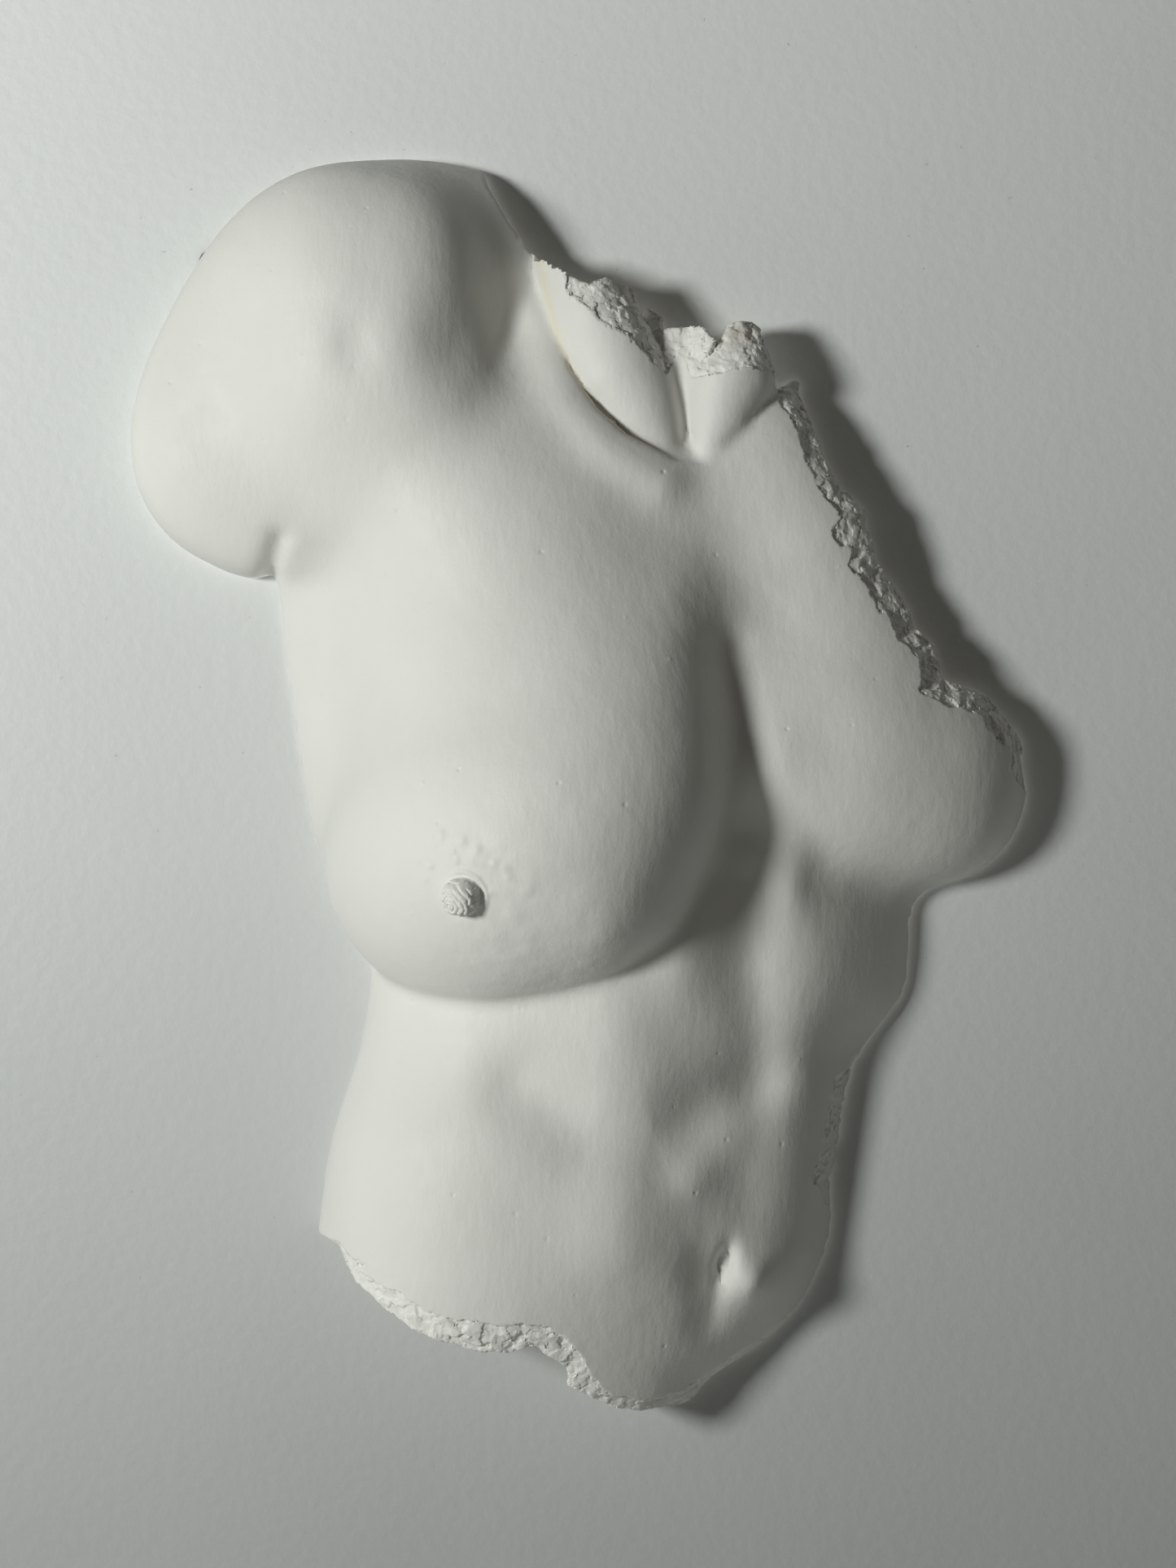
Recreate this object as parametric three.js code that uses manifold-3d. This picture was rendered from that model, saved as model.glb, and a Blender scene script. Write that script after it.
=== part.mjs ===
// Wall relief of an adult torso fragment, cast in plaster as a hollow shell and hung on two rings.
//
// Shapes are laid out in the relief's own millimetres: x to the right, z up and d the distance out
// from the wall. A point (x, d, z) is placed at THREE's (x, -d, z), and the outer group then moves
// the hanging point, midway between the two rings on the wall, to the origin.

import * as THREE from 'three';
import { mergeVertices } from 'three/addons/utils/BufferGeometryUtils.js';
import Module from 'manifold-3d';

const wasm = await Module();
wasm.setup();

// Plaster
const PLASTER_BACK = 3.3;
const SHELL_THICKNESS = 14;
const RIM_THICKNESS = 16;
// The break is a low cliff at the skin and then a slope that falls this far over its usual run,
// and further where the share of the run is over one.
const CLIFF = 1;
const BREAK_RUN = 12.7;
const SHALLOW_BREAK = 2.5;
const DEEP_BREAK = 12;
const HOLLOW_ROUNDING = 24;
const OUTER_CELL = 12;
const HOLLOW_CELL = 16;

// Scrim lining pressed into the hollow
const LINING_GAP = 1.5;
const LINING_THICKNESS = 3;
const LINING_EDGE = 13;

// Wooden battens
const BATTEN_BACK = 9;
const BATTEN_DEPTH = 15;
const BATTEN_HEIGHT = 36;
const UPPER_BATTEN = { left: -80, right: 60, z: 102 };
const LOWER_BATTEN = { left: -78, right: 62, z: -152 };

// Scrim wads that tie the batten ends in
const WAD_RADII = [24, 17, 27];
const WAD_SIDES = 16;
const WAD_BANDS = 10;
const WAD_OVERHANG = 5;
const WAD_BACK = 5;
const FIT_GAP = 0.35;

// Ring hangers on the upper batten
const RING_SPACING = 64;
const WIRE_RADIUS = 1.5;
const RING_BAR = 18;
const RING_HEIGHT = 18;
const RING_CORNER = 3;
const RING_SPLIT = 0.6;
const RING_STEPS = 32;
const WIRE_SIDES = 8;
const STRAP_WIDTH = 12;
const STRAP_THICKNESS = 1.2;
const STRAP_LEG = 30;
const WIRE_PLAY = 0.15;
const CURL_TURN = 290;
const CURL_STEPS = 20;
const SCREW_DROPS = [10, 25];
const SCREW_SHANK = 1.5;
const SCREW_LENGTH = 12;
const SCREW_TIP = 3;
const HEAD_RADIUS = 3.1;
const HEAD_HEIGHT = 1.8;
const PILOT_PLAY = 0.35;
const PILOT_MARGIN = 0.5;
const SCREW_SIDES = 16;
const HEAD_ROUNDING = 0.5;

// Felt pads between the plaster and the wall
const PAD_RADIUS = 6;
const PAD_THICKNESS = 3;
const PAD_SIDES = 28;
const PADS = {
  upper_left: [-176, 244],
  upper_right: [112, 116],
  lower_left: [-112, -200],
  lower_right: [108, -172],
};

const UPPER_TOP = UPPER_BATTEN.z + BATTEN_HEIGHT / 2;
const CURL_RADIUS = WIRE_RADIUS + WIRE_PLAY + STRAP_THICKNESS;
const BAR_D = BATTEN_BACK - FIT_GAP - CURL_RADIUS;
const BAR_Z = UPPER_TOP + CURL_RADIUS + FIT_GAP;
const HANG = { x: -4, z: BAR_Z + RING_HEIGHT - WIRE_RADIUS };

// The trunk is a stack of flattened ovals. Each level gives its height, the front point of the oval
// (x, d), its half width, its half depth and how far it faces to the right, in degrees.
const TRUNK = [
  [-330, 40, 12, 150, 84, 30],
  [-280, 46, 35, 148, 86, 30],
  [-221, 54, 55, 145, 90, 29],
  [-165, 60, 58, 146, 88, 27],
  [-123, 61, 60, 138, 88, 22],
  [-86, 62, 64, 134, 92, 20],
  [-40, 64, 62, 138, 96, 20],
  [23, 64, 52, 142, 98, 20],
  [96, 58, 50, 140, 96, 20],
  [144, 50, 46, 136, 92, 20],
  [190, 48, 26, 120, 80, 20],
  [240, 48, 6, 90, 60, 20],
];
const OVAL_POWER = 2.3;

// Masses: centre and radii as (x, d, z). lean tips the top to the right and turn faces it right.
const ARM = { at: [-136, 4, 183], radii: [68, 68, 90], lean: 28, power: 2.3 };
const ARM_TOP = 47;
const ARM_ROUNDING = 26;
const SHOULDER = { at: [-98, 14, 212], radii: [57, 62, 69], power: 2.5 };
const TRAPEZIUS = { at: [-64, 0, 236], radii: [68, 29, 50] };
const CHEST_MASS = { at: [-42, -18, 42], radii: [72, 108, 120], turn: 30 };
const RIGHT_BREAST = { at: [-26, 30, -10], radii: [78, 104, 103], lean: 45, turn: 30, power: 2.05 };
const LEFT_BREAST = { at: [130, -6, 9], radii: [74, 67, 57], lean: 8, turn: 22, power: 2.5 };

// How softly each part runs into the body, in millimetres. A breast's blend is its radius below
// and above, and the two heights between which it changes.
const FLANK_BLEND = 16;
const PECTORAL_BLEND = 30;
const SHOULDER_BLEND = 44;
const TRAPEZIUS_BLEND = 30;
const ARM_BLEND = 14;
const CHEST_BLEND = 30;
const RIGHT_BREAST_BLEND = [5, 42, -60, 70];
const LEFT_BREAST_BLEND = [14, 42, -20, 90];
const NECK_BLEND = 3;
const CORE_BLEND = 4;

// Chains of rounded links: x, d, z and radius at each joint.
const FLANK = [[-118, -4, 120, 30], [-112, -4, 60, 30], [-100, -8, -10, 32], [-84, -12, -60, 26]];
const LEFT_PECTORAL = [[84, 6, 150, 34], [104, 6, 110, 38], [128, -6, 60, 41]];
const RIGHT_PECTORAL = [[-102, 10, 192, 48], [-62, 14, 134, 54], [-34, 18, 80, 58]];
const RIGHT_NECK = [
  [33, 36, 153, 11], [24, 31, 170, 19], [15, 27, 189, 25], [6, 26, 216, 25], [0, 24, 240, 25],
];
const LEFT_NECK = [
  [54, 40, 150, 5], [57, 38, 158, 9.5], [61, 34, 170, 15], [65, 28, 187, 21.5], [66, 26, 225, 24],
];
const NECK_CORE = [[46, 16, 148, 20], [44, 10, 200, 26], [42, 8, 240, 26]];

// The hollow above the collarbones, as an outline in x and z, how deep it drops and the heights
// between which it gets that deep.
const NECK_HOLLOW = [
  [-22, 241], [-16, 212], [-8, 189], [4, 171], [17, 159], [40, 147], [52, 147], [68, 161],
  [82, 176], [92, 190], [92, 262], [-22, 262],
];
const NECK_DROP = 13;
const NECK_SLOPE = [140, 182];

// Soft relief on the skin. A swell is height, centre (x, z), radii and tilt; a line is height,
// half width and its points. Negative heights press in.
const SWELLS = [
  [-4, -46, 220, 20, 36, 6],
  [-4, -62, 198, 15, 20, 0],
  [-2, -104, 196, 10, 14, 0],
  [4, 44, 90, 22, 30, 0],
  [5, 42, -76, 15, 24, 0],
  [4, 92, -42, 10, 18, 0],
  [8, 86, 4, 18, 32, 0],
  [3, 104, -70, 20, 40, 0],
  [3, 24, -118, 44, 22, 0],
  [2, 48, -178, 10, 10, 0],
  [-4, 53, -221, 10, 13, 0],
  [-4.5, 61.5, -218, 3.5, 9, -14],
  [6, 75, -227, 9, 10, 0],
  [-3, 54, -243, 10, 12, 0],
];
const LINES = [
  [5, 12, [[-20, 215], [-15, 195], [-8, 176], [10, 154], [34, 138]]],
  [-4, 5, [[-151, 88], [-141, 112]]],
  [-3, 11, [[62, 60], [65, 20], [66, -20]]],
  [-4, 13, [[68, -45], [74, -90], [79, -135]]],
  [-1.5, 12, [[79, -135], [72, -190]]],
  [-5, 16, [[-30, -136], [0, -158], [30, -162], [64, -138]]],
  [5, 24, [[14, -70], [14, -110], [20, -150], [16, -200]]],
  [-12, 24, [[128, -130], [129, -180], [123, -225], [100, -260], [64, -286]]],
];

// The fragment's edge where the skin ends: x, z and how far out the broken face runs below the
// skin, as a share of the usual run. The left side runs clear of the body, whose own outline ends
// it.
const EDGE = [
  [-60, 320, 0], [-46, 276, 0], [-37, 259, 0], [-29, 248, 0], [-22, 240, 0], [-10, 233, 0],
  [-9, 222, 1.2], [6, 212, 1.5], [18, 204, 1.5], [29, 195, 1.5], [35, 189, 1.4], [40, 196, 1],
  [46, 197, 1], [49, 188, 1.4], [62, 187, 1.8], [75, 190, 1.8], [84, 190, 1.5], [90, 178, 0.7],
  [93, 164, 0.8], [101, 143, 0.9], [108, 127, 0.9], [116, 121, 0.9], [113, 114, 0.9],
  [121, 108, 0.9], [118, 100, 0.9], [128, 89, 0.9], [135, 80, 0.9], [140, 65, 0.9], [150, 58, 0.9],
  [152, 43, 0.9], [167, 35, 0.9], [176, 31, 0.9], [184, 22, 0.9], [192, 12, 0.9], [193, 5, 0.8],
  [202, -1, 0.5], [215, -10, 0], [215, -60, 0], [165, -60, 0], [149, -62, 0], [150, -85, 0],
  [146, -99, 0], [136, -112, 0], [128, -122, 0.3], [113, -137, 0.6], [109, -152, 0.7],
  [107, -175, 0.7], [104, -184, 0.6], [111, -196, 0.4], [116, -210, 0.2], [113, -224, 0.3],
  [104, -238, 0.3], [88, -252, 0.3], [58, -270, 0.3], [44, -279, 0.5], [20, -279, 0.5],
  [6, -274, 0.5], [2, -268, 0.8], [0, -256, 0.8], [-8, -248, 0.9], [-17, -241, 0.9],
  [-24, -239, 0.9], [-38, -242, 0.9], [-48, -242, 0.9], [-56, -239, 0.9], [-64, -238, 0.9],
  [-76, -232, 0.9], [-88, -225, 0.8], [-100, -218, 0.6], [-112, -208, 0.2], [-140, -206, 0],
  [-260, -206, 0], [-260, 320, 0],
];

// ---------------------------------------------------------------- distance functions

const radians = (degrees) => (degrees * Math.PI) / 180;

function smoothMin(a, b, k) {
  const h = Math.max(k - Math.abs(a - b), 0) / k;
  return Math.min(a, b) - (h * h * k) / 4;
}

const smoothMax = (a, b, k) => -smoothMin(-a, -b, k);

// Distance to |u/a|^n + |v/b|^n + ... = 1, to first order.
function powerShape(offsets, radii, power) {
  let sum = 0;
  let slope = 0;
  offsets.forEach((offset, i) => {
    const ratio = Math.abs(offset / radii[i]);
    sum += ratio ** power;
    slope += (ratio ** (power - 1) / radii[i]) ** 2;
  });
  const reach = Math.max(sum ** (1 / power), 1e-6);
  const gradient = Math.sqrt(slope) / reach ** (power - 1);
  return (reach - 1) / Math.max(gradient, 1e-6);
}

function mass(x, d, z, { at, radii, lean = 0, turn = 0, power = 2 }) {
  const [px, pd, pz] = [x - at[0], d - at[1], z - at[2]];
  const [ct, st] = [Math.cos(radians(turn)), Math.sin(radians(turn))];
  const [cl, sl] = [Math.cos(radians(lean)), Math.sin(radians(lean))];
  const side = ct * px - st * pd;
  const front = st * px + ct * pd;
  return powerShape([cl * side - sl * pz, front, sl * side + cl * pz], radii, power);
}

function chain(x, d, z, links) {
  let nearest = Infinity;
  for (let i = 0; i + 1 < links.length; i += 1) {
    const [ax, ad, az, ar] = links[i];
    const [bx, bd, bz, br] = links[i + 1];
    const along = [bx - ax, bd - ad, bz - az];
    const from = [x - ax, d - ad, z - az];
    const dot = along[0] * from[0] + along[1] * from[1] + along[2] * from[2];
    const t = Math.min(Math.max(dot / (along[0] ** 2 + along[1] ** 2 + along[2] ** 2), 0), 1);
    const gap = Math.hypot(from[0] - t * along[0], from[1] - t * along[1], from[2] - t * along[2]);
    nearest = Math.min(nearest, gap - ar - (br - ar) * t);
  }
  return nearest;
}

// Slope of one column of a table at each level, for levels that are unevenly spaced.
function slopes(table, column) {
  return table.map((row, i) => {
    const before = table[Math.max(i - 1, 0)];
    const after = table[Math.min(i + 1, table.length - 1)];
    const down = row[0] - before[0];
    const up = after[0] - row[0];
    if (down === 0) return (after[column] - row[column]) / up;
    if (up === 0) return (row[column] - before[column]) / down;
    const rise = down * down * (after[column] - row[column]);
    const fall = up * up * (row[column] - before[column]);
    return (rise + fall) / (down * up * (down + up));
  });
}

const TRUNK_SLOPES = [0, 1, 2, 3, 4, 5].map((column) => slopes(TRUNK, column));

// Reads the trunk's table at one height, along a smooth curve through its levels.
function trunkLevel(z) {
  const last = TRUNK.length - 1;
  const height = Math.min(Math.max(z, TRUNK[0][0]), TRUNK[last][0]);
  let i = 0;
  while (i < last - 1 && TRUNK[i + 1][0] < height) i += 1;
  const span = TRUNK[i + 1][0] - TRUNK[i][0];
  const t = (height - TRUNK[i][0]) / span;
  const [t2, t3] = [t * t, t * t * t];
  return [1, 2, 3, 4, 5].map((column) => {
    const [start, end] = [TRUNK[i][column], TRUNK[i + 1][column]];
    const [m0, m1] = [TRUNK_SLOPES[column][i] * span, TRUNK_SLOPES[column][i + 1] * span];
    const ends = (2 * t3 - 3 * t2 + 1) * start + (3 * t2 - 2 * t3) * end;
    return ends + (t3 - 2 * t2 + t) * m0 + (t3 - t2) * m1;
  });
}

function trunk(x, d, z, level) {
  const [frontX, frontD, halfWidth, halfDepth, facing] = level;
  const [s, c] = [Math.sin(radians(facing)), Math.cos(radians(facing))];
  const px = x - (frontX - halfDepth * s);
  const pd = d - (frontD - halfDepth * c);
  const oval = powerShape([px * c - pd * s, px * s + pd * c], [halfWidth, halfDepth], OVAL_POWER);
  return Math.max(oval, z - TRUNK[TRUNK.length - 1][0], TRUNK[0][0] - z);
}

// Squared distance from (x, z) to the segment a-b and the share of the way along it.
function toSegment(x, z, a, b) {
  const [ux, uz] = [b[0] - a[0], b[1] - a[1]];
  const share = ((x - a[0]) * ux + (z - a[1]) * uz) / (ux * ux + uz * uz);
  const t = Math.min(Math.max(share, 0), 1);
  return [(x - a[0] - t * ux) ** 2 + (z - a[1] - t * uz) ** 2, t];
}

// Distance to a closed outline in x and z, negative inside, and its third value at the nearest
// point.
function outline(x, z, points) {
  let nearest = Infinity;
  let value = 0;
  let inside = false;
  points.forEach((a, i) => {
    const b = points[(i + 1) % points.length];
    const [squared, t] = toSegment(x, z, a, b);
    if (squared < nearest) {
      nearest = squared;
      value = a[2] + (b[2] - a[2]) * t;
    }
    const crosses = a[1] > z !== b[1] > z;
    if (crosses && x < ((b[0] - a[0]) * (z - a[1])) / (b[1] - a[1]) + a[0]) inside = !inside;
  });
  return [Math.sqrt(nearest) * (inside ? -1 : 1), value];
}

// Height of the soft relief at one point of the skin.
function softRelief(x, z) {
  let height = 0;
  for (const [rise, cx, cz, rx, rz, tilt] of SWELLS) {
    const [c, s] = [Math.cos(radians(tilt)), Math.sin(radians(tilt))];
    const across = ((x - cx) * c + (z - cz) * s) / rx;
    const along = ((z - cz) * c - (x - cx) * s) / rz;
    height += rise * Math.exp(-across * across - along * along);
  }
  for (const [rise, width, points] of LINES) {
    let nearest = Infinity;
    for (let i = 0; i + 1 < points.length; i += 1) {
      nearest = Math.min(nearest, toSegment(x, z, points[i], points[i + 1])[0]);
    }
    height += rise * Math.exp(-nearest / (width * width));
  }
  return height;
}

// How far a value is from low to high, from 0 to 1.
const ramp = (value, low, high) => Math.min(Math.max((value - low) / (high - low), 0), 1);

function breastBlend(z, [below, above, start, end]) {
  const t = ramp(z, start, end);
  return below + (above - below) * t * t * (3 - 2 * t);
}

// Distance to the whole smooth body at (x, d, z), before the fragment's edge is cut.
function body(x, d, z, level, relief, hollowEdge) {
  let f = trunk(x, d, z, level);
  f = smoothMin(f, chain(x, d, z, FLANK), FLANK_BLEND);
  f = smoothMin(f, chain(x, d, z, LEFT_PECTORAL), PECTORAL_BLEND);
  let arm = smoothMax(mass(x, d, z, ARM), d - ARM_TOP, ARM_ROUNDING);
  arm = smoothMin(arm, mass(x, d, z, SHOULDER), SHOULDER_BLEND);
  f = smoothMin(f, smoothMin(arm, mass(x, d, z, TRAPEZIUS), TRAPEZIUS_BLEND), ARM_BLEND);
  f = smoothMin(f, chain(x, d, z, RIGHT_PECTORAL), PECTORAL_BLEND);
  f = smoothMin(f, mass(x, d, z, CHEST_MASS), CHEST_BLEND);
  f = smoothMin(f, mass(x, d, z, RIGHT_BREAST), breastBlend(z, RIGHT_BREAST_BLEND));
  f = smoothMin(f, mass(x, d, z, LEFT_BREAST), breastBlend(z, LEFT_BREAST_BLEND));
  f -= relief;
  const floor = f + NECK_DROP * ramp(z, ...NECK_SLOPE);
  f = smoothMax(f, Math.min(-hollowEdge, floor), NECK_BLEND);
  const cords = smoothMin(chain(x, d, z, RIGHT_NECK), chain(x, d, z, LEFT_NECK), NECK_BLEND);
  return smoothMin(f, smoothMin(cords, chain(x, d, z, NECK_CORE), CORE_BLEND), NECK_BLEND);
}

// One upright column of space at (x, z): gives the outer solid's and the hollow's distances at d.
function column(x, z) {
  const level = trunkLevel(z);
  const relief = softRelief(x, z);
  const [hollowEdge] = outline(x, z, NECK_HOLLOW);
  const [edge, slope] = outline(x, z, EDGE);
  const run = Math.max(BREAK_RUN * slope, 0.1);
  const fall = SHALLOW_BREAK + DEEP_BREAK * ramp(slope, 1, 2);
  return {
    outer: (d) => {
      const f = body(x, d, z, level, relief, hollowEdge);
      const kept = Math.min(edge, f + CLIFF + fall * ramp(edge, 0, run));
      return Math.max(f, kept, edge - run, -d - OUTER_CELL);
    },
    hollow: (d) => {
      const f = body(x, d, z, level, relief, hollowEdge);
      const inside = smoothMax(f + SHELL_THICKNESS, edge + RIM_THICKNESS, HOLLOW_ROUNDING);
      return Math.max(inside, -d - HOLLOW_CELL);
    },
  };
}

// ---------------------------------------------------------------- meshes

const SPACE = { low: [-240, -34, -312], high: [240, 170, 312] };
const WALL_BLOCK = { side: 900, thickness: 200 };

// A cell's twelve edges. An edge runs along one axis, at an offset of 0 or 1 on each other axis.
const others = (axis) => [0, 1, 2].filter((n) => n !== axis);
const edgeId = (axis, first, second) => axis * 4 + first + 2 * second;
const CELL_EDGES = [0, 1, 2].flatMap((axis) => [[0, 0], [1, 0], [0, 1], [1, 1]].map((offsets) => {
  const start = [0, 0, 0];
  others(axis).forEach((n, i) => { start[n] = offsets[i]; });
  const end = start.slice();
  end[axis] = 1;
  return { id: edgeId(axis, ...offsets), start, end };
}));

// The edge along one axis that passes a corner of the cell.
function edgeAt(axis, corner) {
  const [first, second] = others(axis);
  return edgeId(axis, corner[first], corner[second]);
}

// Sorts a cell's crossed edges into the separate sheets of surface that pass through it. Where a
// face has crossings on all four sides, its inside corners count as apart.
function sheetsOf(inside, crossed) {
  const parent = CELL_EDGES.map((_, n) => n);
  const find = (n) => (parent[n] === n ? n : find(parent[n]));
  for (const axis of [0, 1, 2]) {
    const [p, q] = others(axis);
    for (const side of [0, 1]) {
      const corners = [[0, 0], [1, 0], [1, 1], [0, 1]].map(([cp, cq]) => {
        const corner = [0, 0, 0];
        [corner[axis], corner[p], corner[q]] = [side, cp, cq];
        return corner;
      });
      const onFace = new Set(corners.flatMap((corner) => [edgeAt(p, corner), edgeAt(q, corner)]));
      const hits = [...onFace].filter((id) => crossed[id]);
      if (hits.length === 2) parent[find(hits[0])] = find(hits[1]);
      if (hits.length === 4) {
        corners.filter(inside).forEach((corner) => {
          parent[find(edgeAt(p, corner))] = find(edgeAt(q, corner));
        });
      }
    }
  }
  return CELL_EDGES.map(({ id }) => find(id));
}

// Wraps the zero level of a field in quads, one vertex for each sheet in each cell it crosses.
function wrapField(kind, cell) {
  const counts = SPACE.low.map((low, i) => Math.ceil((SPACE.high[i] - low) / cell) + 1);
  const [nx, nd, nz] = counts;
  const at = (i, j, k) => (i * nd + j) * nz + k;
  const values = new Float32Array(nx * nd * nz);
  for (let i = 0; i < nx; i += 1) {
    for (let k = 0; k < nz; k += 1) {
      const field = column(SPACE.low[0] + i * cell, SPACE.low[2] + k * cell)[kind];
      for (let j = 0; j < nd; j += 1) values[at(i, j, k)] = field(SPACE.low[1] + j * cell);
    }
  }
  const positions = [];
  const vertexOf = new Map();
  const wrapCell = (i, j, k) => {
    const value = (corner) => values[at(i + corner[0], j + corner[1], k + corner[2])];
    const inside = (corner) => value(corner) < 0;
    const crossed = CELL_EDGES.map(({ start, end }) => inside(start) !== inside(end));
    if (!crossed.includes(true)) return;
    const sheets = sheetsOf(inside, crossed);
    const vertices = new Array(CELL_EDGES.length);
    for (const sheet of new Set(sheets.filter((_, id) => crossed[id]))) {
      const edges = CELL_EDGES.filter(({ id }) => crossed[id] && sheets[id] === sheet);
      const sum = [0, 0, 0];
      for (const { start, end } of edges) {
        const t = value(start) / (value(start) - value(end));
        for (let n = 0; n < 3; n += 1) sum[n] += start[n] + (end[n] - start[n]) * t;
      }
      edges.forEach(({ id }) => { vertices[id] = positions.length / 3; });
      const [x, d, z] = [i, j, k].map((n, axis) => {
        return SPACE.low[axis] + (n + sum[axis] / edges.length) * cell;
      });
      positions.push(x, -d, z);
    }
    vertexOf.set(at(i, j, k), vertices);
  };
  for (let i = 0; i + 1 < nx; i += 1) {
    for (let j = 0; j + 1 < nd; j += 1) {
      for (let k = 0; k + 1 < nz; k += 1) wrapCell(i, j, k);
    }
  }
  const index = [];
  // Joins the four cells round the grid edge that leaves a grid point along one axis.
  const quad = (point, axis) => {
    const end = point.slice();
    end[axis] += 1;
    const here = values[at(...point)] < 0;
    if (here === values[at(...end)] < 0) return;
    const [p, q] = others(axis);
    const [v0, v1, v2, v3] = [[1, 1], [0, 1], [0, 0], [1, 0]].map(([back, down]) => {
      const corner = point.slice();
      corner[p] -= back;
      corner[q] -= down;
      return vertexOf.get(at(...corner))[edgeId(axis, back, down)];
    });
    if (here === (axis === 1)) index.push(v0, v1, v2, v0, v2, v3);
    else index.push(v0, v2, v1, v0, v3, v2);
  };
  for (let i = 1; i + 1 < nx; i += 1) {
    for (let j = 1; j + 1 < nd; j += 1) {
      for (let k = 1; k + 1 < nz; k += 1) [0, 1, 2].forEach((axis) => quad([i, j, k], axis));
    }
  }
  return { positions: new Float32Array(positions), index: new Uint32Array(index) };
}

// The same wrap, moved further into the hollow along the field's gradient.
function shrinkHollow(wrap, distance) {
  const positions = wrap.positions.slice();
  const step = 1;
  for (let i = 0; i < positions.length; i += 3) {
    const [x, d, z] = [positions[i], -positions[i + 1], positions[i + 2]];
    const gradient = [
      column(x + step, z).hollow(d) - column(x - step, z).hollow(d),
      column(x, z).hollow(d + step) - column(x, z).hollow(d - step),
      column(x, z + step).hollow(d) - column(x, z - step).hollow(d),
    ];
    const length = Math.hypot(...gradient);
    positions[i] -= (distance * gradient[0]) / length;
    positions[i + 1] += (distance * gradient[1]) / length;
    positions[i + 2] -= (distance * gradient[2]) / length;
  }
  return { positions, index: wrap.index };
}

function solidFromWrap({ positions, index }) {
  return new wasm.Manifold(
    new wasm.Mesh({ numProp: 3, vertProperties: positions, triVerts: index }),
  );
}

function solidFromGeometry(geometry, [x, d, z] = [0, 0, 0]) {
  const bare = geometry.clone().translate(x, -d, z);
  bare.deleteAttribute('normal');
  bare.deleteAttribute('uv');
  const merged = mergeVertices(bare, 1e-4);
  return solidFromWrap({
    positions: new Float32Array(merged.attributes.position.array),
    index: new Uint32Array(merged.index.array),
  });
}

function geometryFromSolid(solid) {
  const mesh = solid.getMesh();
  const geometry = new THREE.BufferGeometry();
  geometry.setAttribute('position', new THREE.BufferAttribute(mesh.vertProperties, 3));
  geometry.setIndex(new THREE.BufferAttribute(mesh.triVerts, 1));
  geometry.computeVertexNormals();
  return geometry;
}

// A block that fills everything nearer the wall than d.
function wallSide(d) {
  const block = new THREE.BoxGeometry(WALL_BLOCK.side, WALL_BLOCK.thickness, WALL_BLOCK.side);
  return solidFromGeometry(block, [0, d - WALL_BLOCK.thickness / 2, 0]);
}

// ---------------------------------------------------------------- materials

const PLASTER = new THREE.MeshStandardMaterial({ color: 0xdfe0da, roughness: 0.75, metalness: 0 });
const SCRIM = new THREE.MeshStandardMaterial({ color: 0xb9a98a, roughness: 0.95, metalness: 0 });
const PINE = new THREE.MeshStandardMaterial({ color: 0xc49c6c, roughness: 0.7, metalness: 0 });
const ZINC = new THREE.MeshStandardMaterial({ color: 0xb4b6b8, roughness: 0.35, metalness: 1 });
const FELT = new THREE.MeshStandardMaterial({ color: 0x6f6c66, roughness: 1, metalness: 0 });

function named(name, geometry, material) {
  const mesh = new THREE.Mesh(geometry, material);
  mesh.name = name;
  return mesh;
}

// ---------------------------------------------------------------- sub-parts

const hollowWrap = wrapField('hollow', HOLLOW_CELL);

function torsoShell() {
  const outer = solidFromWrap(wrapField('outer', OUTER_CELL)).subtract(wallSide(PLASTER_BACK));
  const shell = outer.subtract(solidFromWrap(hollowWrap));
  return named('torso_shell', geometryFromSolid(shell), PLASTER);
}

function scrimLining() {
  const outside = solidFromWrap(shrinkHollow(hollowWrap, LINING_GAP));
  const inside = solidFromWrap(shrinkHollow(hollowWrap, LINING_GAP + LINING_THICKNESS));
  const sheet = outside.subtract(inside).subtract(wallSide(LINING_EDGE));
  return named('scrim_lining', geometryFromSolid(sheet), SCRIM);
}

function battenBlock({ left, right, z }, grow) {
  const block = new THREE.BoxGeometry(
    right - left + 2 * grow,
    BATTEN_DEPTH + 2 * grow,
    BATTEN_HEIGHT + 2 * grow,
  );
  return solidFromGeometry(block, [(left + right) / 2, BATTEN_BACK + BATTEN_DEPTH / 2, z]);
}

const screwHole = (depth) => new THREE.CylinderGeometry(
  SCREW_SHANK + PILOT_PLAY,
  SCREW_SHANK + PILOT_PLAY,
  depth,
  SCREW_SIDES,
);

function upperBatten() {
  let solid = battenBlock(UPPER_BATTEN, 0);
  for (const [x, z] of screwPlaces()) {
    const pilot = screwHole(SCREW_LENGTH + 2 * PILOT_MARGIN);
    const d = BATTEN_BACK + SCREW_LENGTH / 2 - PILOT_MARGIN;
    solid = solid.subtract(solidFromGeometry(pilot, [x, d, z]));
  }
  return named('upper_batten', geometryFromSolid(solid), PINE);
}

function lowerBatten() {
  return named('lower_batten', geometryFromSolid(battenBlock(LOWER_BATTEN, 0)), PINE);
}

// A lump of plaster and scrim over one end of a batten, pressed against the lining.
function wad(name, batten, x, room) {
  const ball = new THREE.SphereGeometry(1, WAD_SIDES, WAD_BANDS).scale(...WAD_RADII);
  const lump = solidFromGeometry(ball, [x, BATTEN_BACK + BATTEN_DEPTH / 2, batten.z])
    .intersect(room)
    .subtract(wallSide(WAD_BACK))
    .subtract(battenBlock(batten, FIT_GAP));
  return named(name, geometryFromSolid(lump), PLASTER);
}

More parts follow.
